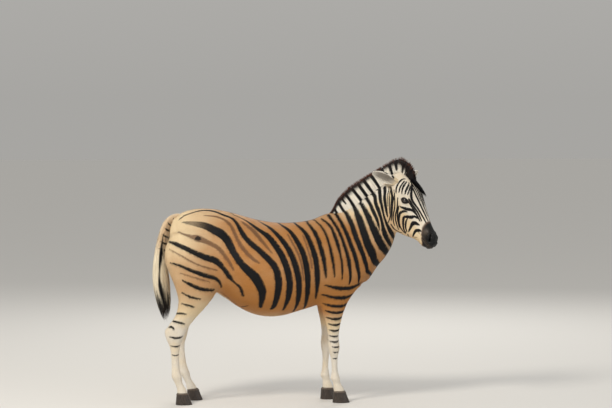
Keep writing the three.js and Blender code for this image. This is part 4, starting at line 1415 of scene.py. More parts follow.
# ---------------------------------------------------------------- ears
# part of the length, half width as part of EAR_WIDTH, half wrap in degrees, how hollow
EAR_ROWS = [
    (-0.14, 0.3, 150, 0),
    (0.0, 0.34, 150, 0),
    (0.1, 0.42, 135, 0.5),
    (0.24, 0.5, 118, 1),
    (0.42, 0.53, 104, 1),
    (0.6, 0.5, 92, 1),
    (0.76, 0.4, 84, 1),
    (0.89, 0.25, 80, 1),
    (0.97, 0.11, 80, 0.8),
]
EAR_WALL = 3.4  # how thick the ear is between its back and its cup
EAR_TIP = 0.94  # where along the ear its skin ends
EAR_SINK = 1.5  # how far the ear's skin lies inside the solid's outside
EARS = [
    dict(name="right", hand=-1, points=(-0.59, -0.28, -0.75), opens=(0.83, 0.19, -0.53)),
    dict(name="left", hand=1, points=(-0.25, 0.17, 0.95), opens=(0.72, 0.5, 0.3)),
]


def ear_axes(ear):
    """The ways along the ear, out of its opening and across it."""
    along = unit(HEAD.turned(ear["points"]))
    facing = HEAD.turned(ear["opens"])
    opening = unit(facing - along * (facing @ along))
    return along, opening, np.cross(along, opening)


def ear_place(ear, t, across, deep):
    """A place in the ear: the part of its length, how far across it and how far towards the opening."""
    along, opening, side = ear_axes(ear)
    root = HEAD.world((EAR_ROOT[0], EAR_ROOT[1], ear["hand"] * EAR_ROOT[2]))
    centre = root + np.multiply.outer(t * EAR_LENGTH, along) + np.multiply.outer(EAR_BEND * t * t, opening)
    return centre + np.multiply.outer(across, side) + np.multiply.outer(deep * EAR_DEPTH, opening)


def make_ear(ear, steps=25, rows=44):
    t = np.linspace(EAR_ROWS[0][0], EAR_TIP - 0.02, rows)
    width, wrap, hollow = smooth_rows(EAR_ROWS)(t)
    wrap = np.radians(wrap)
    part = np.linspace(-1, 1, steps)
    turn = wrap[:, None] * part[None]
    radius = width * EAR_WIDTH - EAR_SINK
    inner = np.maximum(radius - EAR_WALL, radius * 0.4)
    wide = np.broadcast_to(t[:, None], turn.shape)
    outside = ear_place(ear, wide, radius[:, None] * np.sin(turn), -radius[:, None] * np.cos(turn))
    cup = ear_place(ear, wide, inner[:, None] * np.sin(turn * 0.97), -inner[:, None] * np.cos(turn * 0.97))
    filled = np.broadcast_to((-radius * np.cos(wrap))[:, None], turn.shape)
    flat = ear_place(ear, wide, 0.9 * inner[:, None] * np.sin(turn), filled)
    inside = flat + (cup - flat) * hollow[:, None, None]
    ring = np.concatenate([outside, inside[:, ::-1]], 1)
    tip = ear_place(ear, np.array([EAR_TIP]), np.array([0.0]), np.array([-0.07 * EAR_WIDTH]))
    points = np.concatenate([ring.reshape(-1, 3), tip])
    sides = 2 * steps
    last = (rows - 1) * sides
    cap = np.array([[last + i, last + (i + 1) % sides, len(points) - 1] for i in range(sides)])
    piece = make_piece(ear["name"] + "_ear_shell", points, [ring_faces(rows, sides), cap])
    rise = np.append(np.repeat(t, sides), 1.0)
    edge = np.append(np.tile(np.concatenate([np.abs(part), np.abs(part[::-1])]), rows), 1.0)
    within = np.append(np.tile(np.repeat([0.0, 1.0], steps), rows), 0.0)
    give(piece, **ear_marks(rise, edge, within))
    give(piece, strand=strand_at(points, np.broadcast_to(ear_axes(ear)[0], points.shape)))
    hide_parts(ear["name"] + "_ear")
    return piece


def ear_marks(rise, edge, within):
    """A white back with a black band across its middle and a small one near the root, and painted shade in the
    cup: grey away from its rims, root and tip.
    """
    band = np.maximum(20 - np.abs(rise - 0.5) * 190 - 10 * (edge > 0.9), 7 - np.abs(rise - 0.2) * 120)
    rim = smooth_step(edge, 0.7, 1.0)
    inside = within > 0.5
    # the cup's grey is painted shade, deepest away from its rims, its root and its tip
    grey = (1 - rim) * smooth_step(rise, -0.1, 0.16) * smooth_step(1.0 - rise, 0.05, 0.4)
    return dict(
        tan=0.04 + 0.26 * below(rise, 0.34, 0.3),
        hollow=np.where(inside, grey, 0.0),
        **even_stripes(np.where(inside, -STRIPE_REACH, band)),
    )


EAR_LOCKS = 420
EAR_LOCK_STARTS = (0.02, 0.82)  # the part of the ear's length where they start
EAR_LOCK_EDGE = (0.62, 1.0)  # how near to the edges, from 0 in the middle to 1
EAR_LOCK_LENGTH = (0.12, 0.26)  # as part of the ear's
EAR_LOCK_WIDTH = (0.7, 1.3)
EAR_LOCK_SHORTER = ((0, 0.6, 0.85), (1, 0.9, 0.5))  # where along the ear, and what is left of that length


def make_ear_hair(ear):
    """Long white hair along both edges of the ear's cup, lying towards the tip."""
    n, k = EAR_LOCKS, 5
    start = rng.uniform(*EAR_LOCK_STARTS, n)
    hand = np.where(rng.random(n) < 0.5, -1, 1)
    edge = hand * rng.uniform(*EAR_LOCK_EDGE, n)
    part = np.linspace(0, 1, k)[None]
    length = rng.uniform(*EAR_LOCK_LENGTH, n) * np.interp(start, *EAR_LOCK_SHORTER)
    rise = np.minimum(start[:, None] + length[:, None] * part, EAR_TIP - 0.01)
    width, wrap, _ = smooth_rows(EAR_ROWS)(rise)
    turn = np.radians(wrap) * edge[:, None] * (1 - 0.28 * part * rng.random(n)[:, None])
    reach = (width * EAR_WIDTH - EAR_SINK - EAR_WALL - 0.8) * (1 - rng.uniform(0.0, 0.22, n)[:, None] * part)
    centre = ear_place(ear, rise, reach * np.sin(turn), -reach * np.cos(turn))
    thick = tapered(rng.uniform(*EAR_LOCK_WIDTH, n), (1, 1, 0.8, 0.5))
    side = np.broadcast_to(ear_axes(ear)[2], (n, 3))
    marks = plain_marks((n, k), -9.0, rng.random(n))
    place = np.column_stack([start, edge / 2 + 0.5])
    piece = locks(ear["name"] + "_ear_hair", centre, thick, side, 0, place, marks)
    return piece


ears = [make_ear(ear) for ear in EARS]
ear_hair = [make_ear_hair(ear) for ear in EARS]

# ---------------------------------------------------------------- mane
# place, root x and z, tip x and z, y of the root and the tip, half thickness
MANE_ROWS = [
    (0, 222, 1205, 215, 1242, 0, 0, 12),
    (60, 262, 1215, 244, 1281, 0, 0, 18),
    (140, 322, 1240, 285, 1362, -2, -2, 22),
    (240, 404, 1270, 360, 1444, -8, -8, 24),
    (330, 470, 1330, 441, 1498, -22, -22, 26),
    (410, 530, 1390, 509, 1539, -42, -42, 27),
    (480, 585, 1425, 577, 1582, -64, -64, 27),
    (550, 640, 1455, 645, 1626, -86, -88, 27),
    (600, 690, 1470, 695, 1643, -104, -112, 27),
    (650, 720, 1465, 740, 1619, -128, -144, 27),
    (700, 738, 1445, 773, 1572, -146, -172, 26),
    (750, 748, 1425, 788, 1523, -154, -184, 24),
    (790, 752, 1410, 794, 1474, -160, -190, 18),
]
MANE_SPAN = (0, 790)
# How far a strand that starts at each place has leant along the neck by its tip
MANE_LEAN = (
    (0, 105, 160, 253, 318, 464, 532, 600, 640, 700, 790),
    (0, -24, -33, -66, -78, -72, -70, -40, 22, 34, 0),
)
# Black bands: the strand they follow, half width at its root and tip, and where along it they begin
MANE_BANDS = [
    (8, 13, 12, 0),
    (60, 10, 12, 0),
    (105, 11, 12, 0),
    (160, 11, 12, 0),
    (207, 6, 10, 0.5),
    (253, 12, 12, 0),
    (318, 11, 11, 0),
    (365, 11, 11, 0),
    (408, 9, 12, 0),
    (464, 9, 12, 0),
    (530, 3, 14, 0.45),
    (573, 5, 10, 0.25),
    (600, 2, 9, 0.5),
    (628, 3, 6, 0.1),
    (646, 3, 8, 0.0),
    (730, 76, 80, 0),
]
MANE_BANDS_END = 1.2  # past the strands' tips
# Where along a strand its dark tip begins
MANE_TIPS = ((0, 100, 300, 500, 600, 640, 700, 790), (0.42, 0.62, 0.7, 0.74, 0.7, 0.5, 0.2, 0.0))
MANE_FRONT = ((670, 730, 790), (1.0, 0.89, 0.79))  # how far up the hair reaches at the mane's front
MANE_RUST = (0.8, 1.0)  # the part of a strand over which its dark tip turns rust brown
MANE_SLIM = ((0, 30, 730, 790), (0.2, 1, 1, 0.1))  # how thick the core is at each place


def mane_at(strand, rise, out):
    """A place in the mane: the strand's root along the neck, up it (0 to 1), and to her left (-1 to 1)."""
    place = np.clip(strand + np.interp(strand, *MANE_LEAN) * np.clip(rise, 0, 1), *MANE_SPAN)
    x, z, tip_x, tip_z, y, tip_y, half = smooth_rows(MANE_ROWS)(place)
    after = smooth_rows(MANE_ROWS)(place + 5)
    before = smooth_rows(MANE_ROWS)(place - 5)
    side = unit(np.stack([before[4] - after[4], after[0] - before[0], np.zeros_like(x)], -1))
    root = np.stack([x, y, z], -1)
    tip = np.stack([tip_x, tip_y, tip_z], -1)
    return root + (tip - root) * rise[..., None] + side * (out * half)[..., None]


def mane_marks(strand, rise):
    """The black bands, and the dark tips that end in rust brown."""
    ink = np.full(strand.shape, -30.0)
    for middle, wide, wide_tip, start in MANE_BANDS:
        across = wide + (wide_tip - wide) * rise - np.abs(strand - middle)
        along = np.minimum(rise - start + 0.06, MANE_BANDS_END - rise) * 100
        ink = np.maximum(ink, np.minimum(across, along))
    return dict(
        ink=ink / 2.5,
        tips=(rise - np.interp(strand, *MANE_TIPS)) * 10,
        rust=smooth_step(rise, *MANE_RUST),
        warm=np.zeros(strand.shape),
    )


def make_mane_core():
    place = np.linspace(*MANE_SPAN, 90)
    rise = np.concatenate([np.linspace(-0.3, 0.84, 14), [0.88], np.linspace(0.84, -0.3, 14)])
    out = np.concatenate([np.linspace(-0.8, -0.38, 14), [0.0], np.linspace(0.38, 0.8, 14)])
    grid_place = np.repeat(place, len(rise))
    slim = np.interp(place, *MANE_SLIM)
    low = np.interp(place, *MANE_FRONT) ** 2
    grid_rise, grid_out = np.outer(low, rise).ravel(), np.outer(slim, out).ravel()
    points = mane_at(grid_place, grid_rise, grid_out)
    core = make_piece("mane_core", points, [ring_faces(len(place), len(rise), closed=False)])
    give(core, **mane_marks(grid_place, grid_rise))
    return core


MANE_LOCKS = 8000
MANE_END_PART = 0.12  # the part of the locks that stand across the mane's two ends
MANE_ENDS = ((735, 790), (0, 14))  # the front end and the rear end
MANE_FRONT_PART = 0.75  # the part of those locks that stand at the front
MANE_LENGTH = (0.5, 0.95)  # as part of the mane's height
MANE_WIDTH = (1.2, 2.5)
MANE_STARTS = ((-0.17, 0.0, 0.2, 0.38, 0.55), (0.3, 0.22, 0.18, 0.15, 0.15))  # how far up, and how often


def make_mane_hair():
    n, k = MANE_LOCKS, 6
    place = rng.uniform(*MANE_SPAN, n)
    ends = rng.random(n) < MANE_END_PART
    at_front = rng.random(n) < MANE_FRONT_PART
    place[ends] = np.where(at_front, rng.uniform(*MANE_ENDS[0], n), rng.uniform(*MANE_ENDS[1], n))[ends]
    out = rng.uniform(-0.9, 0.9, n)
    hand = np.where(rng.random(n) < 0.5, -1, 1)
    out = np.where(ends, out, hand * rng.uniform(0.15, 0.95, n))
    start = rng.choice(MANE_STARTS[0], n, p=MANE_STARTS[1])
    top = np.minimum(start + rng.uniform(*MANE_LENGTH, n), 0.99 - rng.random(n) ** 2 * 0.14)
    top = top * np.interp(place, *MANE_FRONT)
    part = np.linspace(0, 1, k)[None]
    rise = spaced(start, top, k)
    lean = rng.normal(0, 5, n)[:, None] * part**1.5
    slim = out[:, None] * (1 - 0.55 * np.clip(rise, 0, 1) ** 2) + rng.normal(0, 0.1, n)[:, None] * part
    where = np.clip(place[:, None] + lean, *MANE_SPAN)
    centre = mane_at(where, rise, slim)
    width = tapered(rng.uniform(*MANE_WIDTH, n), (0.8, 1.0, 0.95, 0.75, 0.45))
    low, near = rise[:, 0], slim[:, 0]
    ahead = unit(mane_at(place + 8, low, near) - mane_at(place - 8, low, near) + 1e-6)
    across = unit(mane_at(place, low, near + 0.1) - mane_at(place, low, near))
    at_end = across * np.where(place < 400, -1, 1)[:, None]
    side = np.where(ends[:, None], at_end, ahead * -np.sign(out)[:, None])
    marks = mane_marks(where, rise)
    marks["tint"] = rng.random(n)
    uv = np.column_stack([place / 800, 0.5 + 0.45 * out * (0.4 + 0.6 * rise[:, 0])])
    return locks("mane_hair", centre, width, side, 0.35, uv, marks)


def make_mane():
    core = make_mane_core()
    hair = make_mane_hair()
    forelock = make_forelock()
    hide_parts("mane")
    return [core, hair, forelock]


# The forelock's middle line in the head's frame, and its half width and half depth there
FORELOCK = [
    (58, 84, 0, 20, 16),
    (92, 90, 0, 21, 15),
    (124, 93, 9, 18, 11),
    (160, 92, 30, 14, 8),
    (193, 84, 56, 9, 5),
    (222, 72, 84, 5, 3),
]
FORELOCK_LOCKS = 1100
FORELOCK_START, FORELOCK_LENGTH = (0, 0.45), (0.3, 0.55)  # as parts of its length
FORELOCK_WIDTH = (0.7, 1.5)


def make_forelock():
    """The mane's front end, which hangs down the left of the forehead to the brow."""
    n, k = FORELOCK_LOCKS, 7
    line = curve_through(FORELOCK, 4.0)
    at = np.linspace(0, 1, len(line))
    step = np.linspace(0, 1, k)[None]
    start = rng.uniform(*FORELOCK_START, n)
    end = np.minimum(start + rng.uniform(*FORELOCK_LENGTH, n), 1 - 0.4 * rng.random(n) ** 2)
    part = spaced(start, end, k)
    turn = rng.uniform(0, 2 * np.pi, n)[:, None] + rng.normal(0, 0.4, n)[:, None] * step
    out = np.sqrt(rng.random(n))[:, None] * (1 + rng.normal(0.05, 0.35, n)[:, None] * step)
    a, u, s, wide, deep = [np.interp(part, at, line[:, i]) for i in range(5)]
    centre = HEAD.world(np.stack([a, u + deep * out * np.cos(turn), s + wide * out * np.sin(turn)], -1))
    width = tapered(rng.uniform(*FORELOCK_WIDTH, n), (0.8, 1, 1, 0.9, 0.7, 0.45))
    side = np.broadcast_to(HEAD.axes[2], (n, 3))
    marks = plain_marks((n, k), 6.0, 0.4 + 0.6 * rng.random(n))
    place = np.column_stack([start, turn[:, 0] / 7])
    return locks("forelock", centre, width, side, -0.4, place, marks)


mane = make_mane()

# ---------------------------------------------------------------- tail
# place, x, z, radius
TAIL_ROWS = [
    (-60, -735, 1228, 20),
    (0, -790, 1240, 24),
    (70, -848, 1200, 27),
    (150, -878, 1130, 29),
    (230, -898, 1050, 31),
    (330, -910, 950, 36),
    (430, -911, 850, 41),
    (530, -902, 750, 41),
    (630, -885, 650, 33),
    (700, -872, 580, 21),
    (745, -865, 533, 7),
]
DOCK_END = 330
DARK_STRAND = (1.75, 0.2)  # its place round the tail from the rear, and half its width, in radians
TAIL_OUT = ((0, 40, 260, 330, 560), (0.86, 0.86, 0.74, 0.62, 0.3))  # how far out the core reaches
TAIL_FORWARD = 0.75  # how much further the hair spreads towards her legs
TAIL_LOCKS = 5600
DOCK_SHARE = 3  # one lock in so many is short and lies on the dock
DOCK_STARTS, SWITCH_STARTS = (10, 330), (190, 420)
DOCK_LENGTH, SWITCH_LENGTH = (26, 60), (180, 400)
DOCK_WIDTH, SWITCH_WIDTH = (1.2, 2.2), (1.6, 3.2)
SWITCH_ENDS = (560, 742)  # the switch's locks stop between these places


def tail_at(place, turn, out):
    """A place in the tail: down it, round it and part of the way out to its surface."""
    x, z, radius = smooth_rows(TAIL_ROWS)(place)
    after, before = smooth_rows(TAIL_ROWS)(place + 4), smooth_rows(TAIL_ROWS)(place - 4)
    across = unit(np.stack([after[1] - before[1], np.zeros_like(x), before[0] - after[0]], -1))
    centre = np.stack([x, np.zeros_like(x), z], -1)
    aside = np.stack([np.zeros_like(x), 0.9 * radius * out * np.sin(turn), np.zeros_like(x)], -1)
    return centre + aside + across * (radius * out * np.cos(turn))[..., None]


def tail_marks(place, turn, length):
    """Cross marks on a warm dock, a dark strand down each side, and cream hair that ends in black."""
    cross = 3 - np.abs((place + 9 * np.cos(turn)) % 46 - 23) + 4 * np.sin(turn * 2)
    cross = np.where((place < DOCK_END * 0.8) & (place > 20), cross, -10.0)
    aside = np.abs((turn + np.pi) % (2 * np.pi) - np.pi) - DARK_STRAND[0]
    strand = (DARK_STRAND[1] - np.abs(aside + sway(place, 60, 0.12)) + sway(place, 37, 0.1)) * 30
    strand = np.where(place > 150, strand, -10.0)
    warm = (0.3 + 0.3 * np.sin(turn) ** 2) * smooth_step(DOCK_END - place, 0, 150)
    rust = smooth_step(length, 600, 740)
    return dict(ink=np.maximum(cross, strand) / 3, tips=(length - 560) / 60, rust=rust, warm=warm)


def make_tail_core(sides=28, rings=60):
    place = np.linspace(-55, 560, rings)
    out = np.interp(place, *TAIL_OUT)
    turn = np.linspace(0, 2 * np.pi, sides, endpoint=False)
    grid_place, grid_turn = np.repeat(place, sides), np.tile(turn, rings)
    points = tail_at(grid_place, grid_turn, np.repeat(out, sides))
    last = len(points) - sides + np.arange(sides)[None]
    core = make_piece("tail_core", points, [ring_faces(rings, sides), last])
    give(core, **tail_marks(grid_place, grid_turn, grid_place))
    return core


def make_tail_hair():
    n, k = TAIL_LOCKS, 7
    on_dock = n // DOCK_SHARE
    start = np.concatenate([rng.uniform(*DOCK_STARTS, on_dock), rng.uniform(*SWITCH_STARTS, n - on_dock)])
    turn = rng.uniform(-np.pi, np.pi, n)
    short = np.arange(n) < on_dock
    length = np.where(short, rng.uniform(*DOCK_LENGTH, n), rng.uniform(*SWITCH_LENGTH, n))
    end = np.minimum(start + length, rng.uniform(*SWITCH_ENDS, n))
    end = np.where(short, start + length, end)
    part = np.linspace(0, 1, k)[None]
    place = spaced(start, end, k)
    base = np.interp(start, *TAIL_OUT)
    final = np.where(short, 0.93, 0.97 * rng.uniform(0.1, 1.0, n) ** 0.4)
    final = final * (1 + TAIL_FORWARD * smooth_step(-np.cos(turn), 0.1, 0.8))
    out = base[:, None] + (final - base)[:, None] * np.clip(part * 1.6, 0, 1)
    twist = turn[:, None] + rng.normal(0, 0.16, n)[:, None] * part
    centre = tail_at(place, twist, out)
    width = np.where(short, rng.uniform(*DOCK_WIDTH, n), rng.uniform(*SWITCH_WIDTH, n))
    width = tapered(width, (0.7, 1, 1, 0.9, 0.75, 0.5))
    side = unit(tail_at(place[:, 0], turn + 0.2, base) - tail_at(place[:, 0], turn - 0.2, base))
    marks = tail_marks(place, twist, place + rng.normal(0, 30, n)[:, None])
    marks["tint"] = rng.random(n)
    uv = np.column_stack([start / 420, turn / 7 + 0.5])
    return locks("tail_hair", centre, width, side, 0.35, uv, marks)


def make_tail():
    core = make_tail_core()
    hair = make_tail_hair()
    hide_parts("tail_dock")
    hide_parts("tail_switch")
    return [core, hair]


tail = make_tail()

# ---------------------------------------------------------------- short coat
HEAD_COAT = dict(count=46000, length=(5, 9), width=(0.5, 0.9), lift=(0.6, 1.3))
BODY_COAT = dict(length=(9, 15), width=(0.7, 1.2), lift=(0.8, 1.7))
COAT_FROM = (68, 74)  # the coat begins between these heights, at the hooves' tops
LEG_TOP = 680
FRONT_FROM = 60
BARE_EDGES = ((26, 33), (4, 9), (12, 18))  # and between these distances from the eye, mouth and nostril
# Name, number of tufts, and which places it holds
COAT_REGIONS = [
    ("coat_legs", 38000, lambda c: c[:, 2] < LEG_TOP),
    ("coat_rear", 64000, lambda c: (c[:, 2] >= LEG_TOP) & (c[:, 0] < FRONT_FROM)),
    ("coat_front", 56000, lambda c: (c[:, 2] >= LEG_TOP) & (c[:, 0] >= FRONT_FROM)),
]


def scattered(points, faces, count, weight):
    """Places spread over the faces, and the faces' normals there. weight thins them by a face's centre."""
    corners = np.array([[f[0], f[i], f[i + 1]] for f in faces for i in range(1, len(f) - 1)])
    a, b, c = points[corners[:, 0]], points[corners[:, 1]], points[corners[:, 2]]
    normal = np.cross(b - a, c - a)
    area = np.linalg.norm(normal, axis=1)
    chance = area * weight((a + b + c) / 3)
    pick = rng.choice(len(corners), count, p=chance / chance.sum())
    r, s = rng.random(count), rng.random(count)
    flip = r + s > 1
    r[flip], s[flip] = 1 - r[flip], 1 - s[flip]
    place = a[pick] + (b - a)[pick] * r[:, None] + (c - a)[pick] * s[:, None]
    return place, normal[pick] / np.maximum(area[pick], 1e-9)[:, None]


def short_coat(name, faces, weight, small_at, count, length, width, lift):
    """Flat tufts that start at the faces and lie along them."""
    root, normal = scattered(skin_points, faces, count, weight)
    small = small_at(root)
    long = rng.uniform(*length, count) * small
    wide = rng.uniform(*width, count) * small
    high = rng.uniform(*lift, count) * small
    way = unit(lie_at(root) + rng.normal(0, 0.14, root.shape))
    way = unit(way - normal * (way * normal).sum(1, keepdims=True))
    part = np.array([0.0, 0.45, 1.0])
    rise = np.stack([np.full(count, -0.4), high * 0.8, high], 1)
    centre = root[:, None] + way[:, None] * (long[:, None] * part)[..., None]
    centre = centre + normal[:, None] * rise[..., None]
    taper = tapered(wide, (1.0, 0.85))
    marks = dict(strand=strand_at(root, way), **ground_marks(root), **tuft_stripes(root))
    piece = locks(name, centre, taper, np.cross(normal, way), 0, unwrapped(root), marks)
    return piece


def off_bare_places(points):
    eye, mouth, nostril = [smooth_step(away, *edge) for away, edge in zip(face_distances(points), BARE_EDGES)]
    return eye * mouth * nostril


def above_hooves(points):
    return smooth_step(points[:, 2], *COAT_FROM)


def small_on_head(root):
    return np.interp(HEAD.local(root)[:, 0], (100, 420), (1, 0.6))


def small_on_body(root):
    return np.interp(root[:, 2], (90, 700), (0.55, 1))


def make_coat():
    centres = centres_of(skin_points, skin_faces)
    on_face = in_head_box(centres)

    def chosen(mask):
        return [face for face, wanted in zip(skin_faces, mask) if wanted]

    pieces = [short_coat("coat_head", chosen(on_face), off_bare_places, small_on_head, **HEAD_COAT)]
    for name, count, holds in COAT_REGIONS:
        faces = chosen(holds(centres) & ~on_face)
        pieces.append(short_coat(name, faces, above_hooves, small_on_body, count, **BODY_COAT))
    return pieces


coat = make_coat()


# ---------------------------------------------------------------- materials
def linear(hex_code):
    """A screen colour as the linear values that a shader takes."""
    channels = [int(hex_code[i : i + 2], 16) / 255 for i in (1, 3, 5)]
    return tuple(c / 12.92 if c <= 0.04045 else ((c + 0.055) / 1.055) ** 2.4 for c in channels) + (1.0,)


WHITE = linear("#e8e2d8")
CREAM = linear("#e8d3ae")
TAN = linear("#b87c3e")
SHADE_BROWN = linear("#6b4a35")
INK = linear("#0b0a0e")
MUZZLE = linear("#111213")
MUZZLE_BROWN = linear("#6a5345")
LIP_BROWN = linear("#63574d")
# the grey of the painted shade inside the ear's cup
EAR_CUP_SHADE_GREY = linear("#aaa298")
ROOT_WHITE = linear("#ece6da")
TIP_BROWN = linear("#5a2e19")
TAIL_CREAM = linear("#e9dcc3")
TAIL_TIP = linear("#2b221d")
DOCK_TAN = linear("#b58650")


class Nodes:
    """A material's nodes, added and joined in one call each."""

    def __init__(self, name):
        self.material = bpy.data.materials.new(name)
        self.material.use_nodes = True
        self.tree = self.material.node_tree
        self.shader = self.tree.nodes["Principled BSDF"]

    def add(self, kind, inputs=None, **settings):
        node = self.tree.nodes.new(kind)
        for key, value in settings.items():
            setattr(node, key, value)
        for key, value in (inputs or {}).items():
            self.join(value, node.inputs[key])
        return node

    def join(self, value, socket):
        if isinstance(value, bpy.types.NodeSocket):
            self.tree.links.new(value, socket)
        else:
            socket.default_value = value

    def attribute(self, name, output="Fac"):
        return self.add("ShaderNodeAttribute", attribute_name=name).outputs[output]

    def math(self, operation, a, b=0.0, c=0.0):
        return self.add("ShaderNodeMath", {0: a, 1: b, 2: c}, operation=operation).outputs[0]

    def ramp(self, value, low, high, to_low=0.0, to_high=1.0):
        node = self.add(
            "ShaderNodeMapRange",
            {"Value": value, "From Min": low, "From Max": high, "To Min": to_low, "To Max": to_high},
        )
        node.interpolation_type = "SMOOTHSTEP"
        return node.outputs["Result"]

    def mix(self, part, a, b, blend_type="MIX"):
        node = self.add("ShaderNodeMix", data_type="RGBA", blend_type=blend_type)
        self.join(part, node.inputs["Factor"])
        self.join(a, node.inputs["A"])
        self.join(b, node.inputs["B"])
        return node.outputs["Result"]

    def shaded(self, colour, value):
        """The colour made lighter or darker by a factor."""
        grey = self.add("ShaderNodeCombineColor", {0: value, 1: value, 2: value}).outputs[0]
        return self.mix(1.0, colour, grey, "MULTIPLY")

    def place(self):
        return self.add("ShaderNodeTexCoord").outputs["Object"]

    def stretched(self, place, scale):
        return self.add("ShaderNodeMapping", {"Vector": place, "Scale": scale}).outputs["Vector"]

    def noise(self, vector, scale, detail=2.0):
        inputs = {"Vector": vector, "Scale": scale, "Detail": detail}
        return self.add("ShaderNodeTexNoise", inputs).outputs["Fac"]

    def strands(self):
        """Fine noise along the lie of the hair, and how far it moves the stripes' edges."""
        fine = self.noise(self.attribute("strand", "Vector"), 420.0)
        return fine, self.math("MULTIPLY_ADD", fine, 4.0, -2.0)

    def bump(self, height, strength, distance):
        inputs = {"Height": height, "Strength": strength, "Distance": distance}
        return self.add("ShaderNodeBump", inputs).outputs["Normal"]

    def inside(self, stripe):
        """The depth in millimetres inside one of the stripes that a face follows."""
        across = self.math("ABSOLUTE", self.attribute(stripe))
        return self.math("SUBTRACT", self.attribute(stripe + "_wide"), across)

    def ground(self, tan):
        low = self.mix(self.ramp(tan, 0.0, 0.3), WHITE, CREAM)
        return self.mix(self.ramp(tan, 0.25, 1.0), low, TAN)

    def finish(self, **values):
        for key, value in values.items():
            self.join(value, self.shader.inputs[key.replace("_", " ")])
        return self.material


def coat_material():
    m = Nodes("coat")
    fine, wander = m.strands()
    broad = m.noise(m.place(), 9.0, 3.0)
    tan = m.math("ADD", m.attribute("tan"), m.math("MULTIPLY_ADD", broad, 0.3, -0.15))
    brown = m.math("ADD", m.math("DIVIDE", m.inside("brown"), 2.2), wander)
    colour = m.mix(m.ramp(brown, -1.5, 1.5, 0.0, 0.82), m.ground(tan), SHADE_BROWN)
    depth = m.math("MAXIMUM", m.inside("black"), m.inside("next"))
    ink = m.ramp(m.math("ADD", m.math("DIVIDE", depth, m.attribute("edge")), wander), -1.0, 1.0)
    bleached = m.math("MULTIPLY", m.attribute("worn"), m.ramp(fine, 0.35, 0.62, 0.12, 0.6))
    ink = m.math("MULTIPLY", ink, m.math("SUBTRACT", 1.0, bleached))
    colour = m.mix(ink, colour, INK)
    dark = m.attribute("dark")
    colour = m.mix(m.ramp(dark, 0.0, 0.55), colour, MUZZLE_BROWN)
    colour = m.mix(m.ramp(dark, 0.3, 0.95), colour, m.mix(m.attribute("flush"), MUZZLE, LIP_BROWN))
    colour = m.shaded(colour, m.ramp(fine, 0.3, 0.7, 0.9, 1.04))
    normal = m.bump(fine, 0.7, 0.0016)
    roughness = m.ramp(dark, 0.4, 0.9, 0.62, 0.4)  # the bare skin of the muzzle and lids shines
    return m.finish(Base_Color=colour, Roughness=roughness, Normal=normal, Specular_IOR_Level=0.25)


def ear_material():
    m = Nodes("ear")
    fine, wander = m.strands()
    ink = m.ramp(m.math("ADD", m.inside("black"), wander), -1.5, 1.5)
    colour = m.mix(ink, m.ground(m.attribute("tan")), INK)
    # painted shade inside the ear's cup, as far as the hollow value reaches
    colour = m.mix(m.attribute("hollow"), colour, EAR_CUP_SHADE_GREY)
    colour = m.shaded(colour, m.ramp(fine, 0.3, 0.7, 0.88, 1.04))
    normal = m.bump(fine, 0.6, 0.0012)
    return m.finish(Base_Color=colour, Roughness=0.65, Normal=normal, Specular_IOR_Level=0.15)


def hair_material(name, root, tip):
    m = Nodes(name)
    wander = m.math("MULTIPLY_ADD", m.noise(m.place(), 260.0), 3.0, -1.5)
    tint = m.attribute("tint")
    ink = m.ramp(m.math("ADD", m.attribute("ink"), wander), -1.0, 1.0)
    colour = m.mix(ink, m.mix(m.attribute("warm"), root, DOCK_TAN), INK)
    tips = m.ramp(m.math("ADD", m.attribute("tips"), wander), -1.0, 1.0)
    rust = m.ramp(m.math("MULTIPLY_ADD", tint, 0.5, m.attribute("rust")), 0.2, 1.1)
    colour = m.mix(tips, colour, m.mix(rust, INK, tip))
    colour = m.shaded(colour, m.ramp(tint, 0.0, 1.0, 0.88, 1.1))
    return m.finish(Base_Color=colour, Roughness=0.5, Specular_IOR_Level=0.22)


def eye_material():
    m = Nodes("eye_wet")
    iris = m.mix(m.ramp(m.attribute("iris"), 0.5, 1.0), linear("#3a1f10"), linear("#120a08"))
    colour = m.mix(m.ramp(m.attribute("pupil"), 0.8, 1.1), linear("#050404"), iris)
    return m.finish(Base_Color=colour, Roughness=0.06, Coat_Weight=1.0, Coat_Roughness=0.03)


def hoof_material():
    m = Nodes("hoof_horn")
    place = m.place()
    fine = m.noise(m.stretched(place, (1.0, 1.0, 0.12)), 380.0)
    rings = m.noise(m.stretched(place, (0.1, 0.1, 1.0)), 200.0)
    colour = m.mix(m.ramp(fine, 0.3, 0.7), linear("#211b18"), linear("#4b4038"))
    colour = m.mix(m.ramp(m.attribute("rise"), 0.88, 1.0), colour, linear("#5d5147"))
    return m.finish(Base_Color=colour, Roughness=0.5, Normal=m.bump(m.math("ADD", fine, rings), 0.5, 0.001))


def paint(material, *pieces):
    for piece in pieces:
        piece.data.materials.append(material)


paint(coat_material(), skin, *coat)
paint(ear_material(), *ears)
paint(hair_material("mane", ROOT_WHITE, TIP_BROWN), *mane, *ear_hair, *lashes)
paint(hair_material("tail", TAIL_CREAM, TAIL_TIP), *tail)
paint(eye_material(), *eyes)
paint(hoof_material(), *hooves)

# ---------------------------------------------------------------- floor, light and camera
FLOOR_SIZE = 120.0
HORIZON, SKY = 0.421, 0.62  # the world's strength level with the floor and above it
SKY_FROM = 0.3  # the sine of the angle above the floor at which the sky is at full strength
SKY_COLOUR = (0.92, 0.902, 0.862, 1)
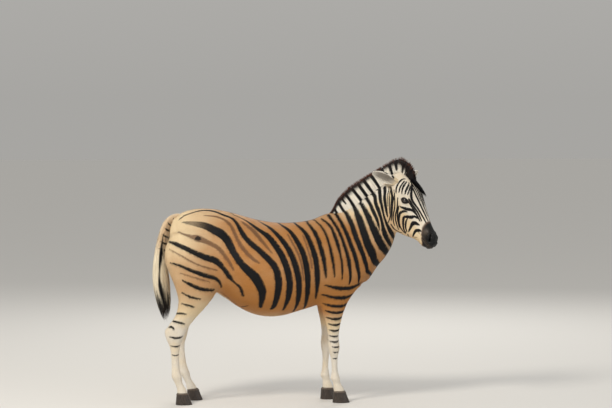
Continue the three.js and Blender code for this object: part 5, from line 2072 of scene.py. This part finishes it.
# Name, place and size in metres, power in watts, colour
LIGHTS = [
    ("key", (-4.5, -5.0, 6.5), 2.4, 470, (1.0, 0.94, 0.84)),
    ("fill", (6.0, -5.0, 2.5), 4.0, 70, (0.9, 0.95, 1.0)),
    ("rim", (1.5, 6.0, 5.0), 3.0, 160, (1.0, 0.97, 0.92)),
]
LIGHTS_AIM = (0, 0, 0.9)
CAMERA_AT = (-1.2495, -15.233, 2.03)
CAMERA_AIM = (0.084, 0.009, 1.32)
LENS, SENSOR = 135.0, 36.0


def make_floor():
    half = FLOOR_SIZE / 2
    mesh = bpy.data.meshes.new("floor")
    corners = [(-half, -half, 0), (half, -half, 0), (half, half, 0), (-half, half, 0)]
    mesh.from_pydata(corners, [], [(0, 1, 2, 3)])
    floor = add_object("floor", mesh)
    m = Nodes("floor_paint")
    paint(m.finish(Base_Color=linear("#d9d8d6"), Roughness=0.9, Specular_IOR_Level=0.0), floor)


def make_world():
    """A pale surround that is a little darker level with the floor, so that the floor fades into it."""
    world = bpy.data.worlds.new("studio")
    world.use_nodes = True
    tree = world.node_tree
    background = tree.nodes["Background"]
    background.inputs["Color"].default_value = SKY_COLOUR
    way = tree.nodes.new("ShaderNodeSeparateXYZ")
    tree.links.new(tree.nodes.new("ShaderNodeTexCoord").outputs["Generated"], way.inputs[0])
    rise = tree.nodes.new("ShaderNodeMapRange")
    for socket, value in (("From Min", 0.0), ("From Max", SKY_FROM), ("To Min", HORIZON), ("To Max", SKY)):
        rise.inputs[socket].default_value = value
    tree.links.new(way.outputs["Z"], rise.inputs["Value"])
    tree.links.new(rise.outputs["Result"], background.inputs["Strength"])
    bpy.context.scene.world = world


def aimed(thing, place, aim):
    thing.location = place
    thing.rotation_euler = (Vector(aim) - Vector(place)).to_track_quat("-Z", "Y").to_euler()
    return thing


def add_light(name, place, size, power, colour):
    light = bpy.data.lights.new(name, "AREA")
    light.shape = "DISK"
    light.size = size
    light.energy = power
    light.color = colour
    aimed(add_object(name, light), place, LIGHTS_AIM)


def add_camera():
    camera = bpy.data.cameras.new("camera")
    camera.lens = LENS
    camera.sensor_width = SENSOR
    bpy.context.scene.camera = aimed(add_object("camera", camera), CAMERA_AT, CAMERA_AIM)


make_floor()
make_world()
for light in LIGHTS:
    add_light(*light)
bpy.context.scene.view_settings.view_transform = "Standard"
add_camera()
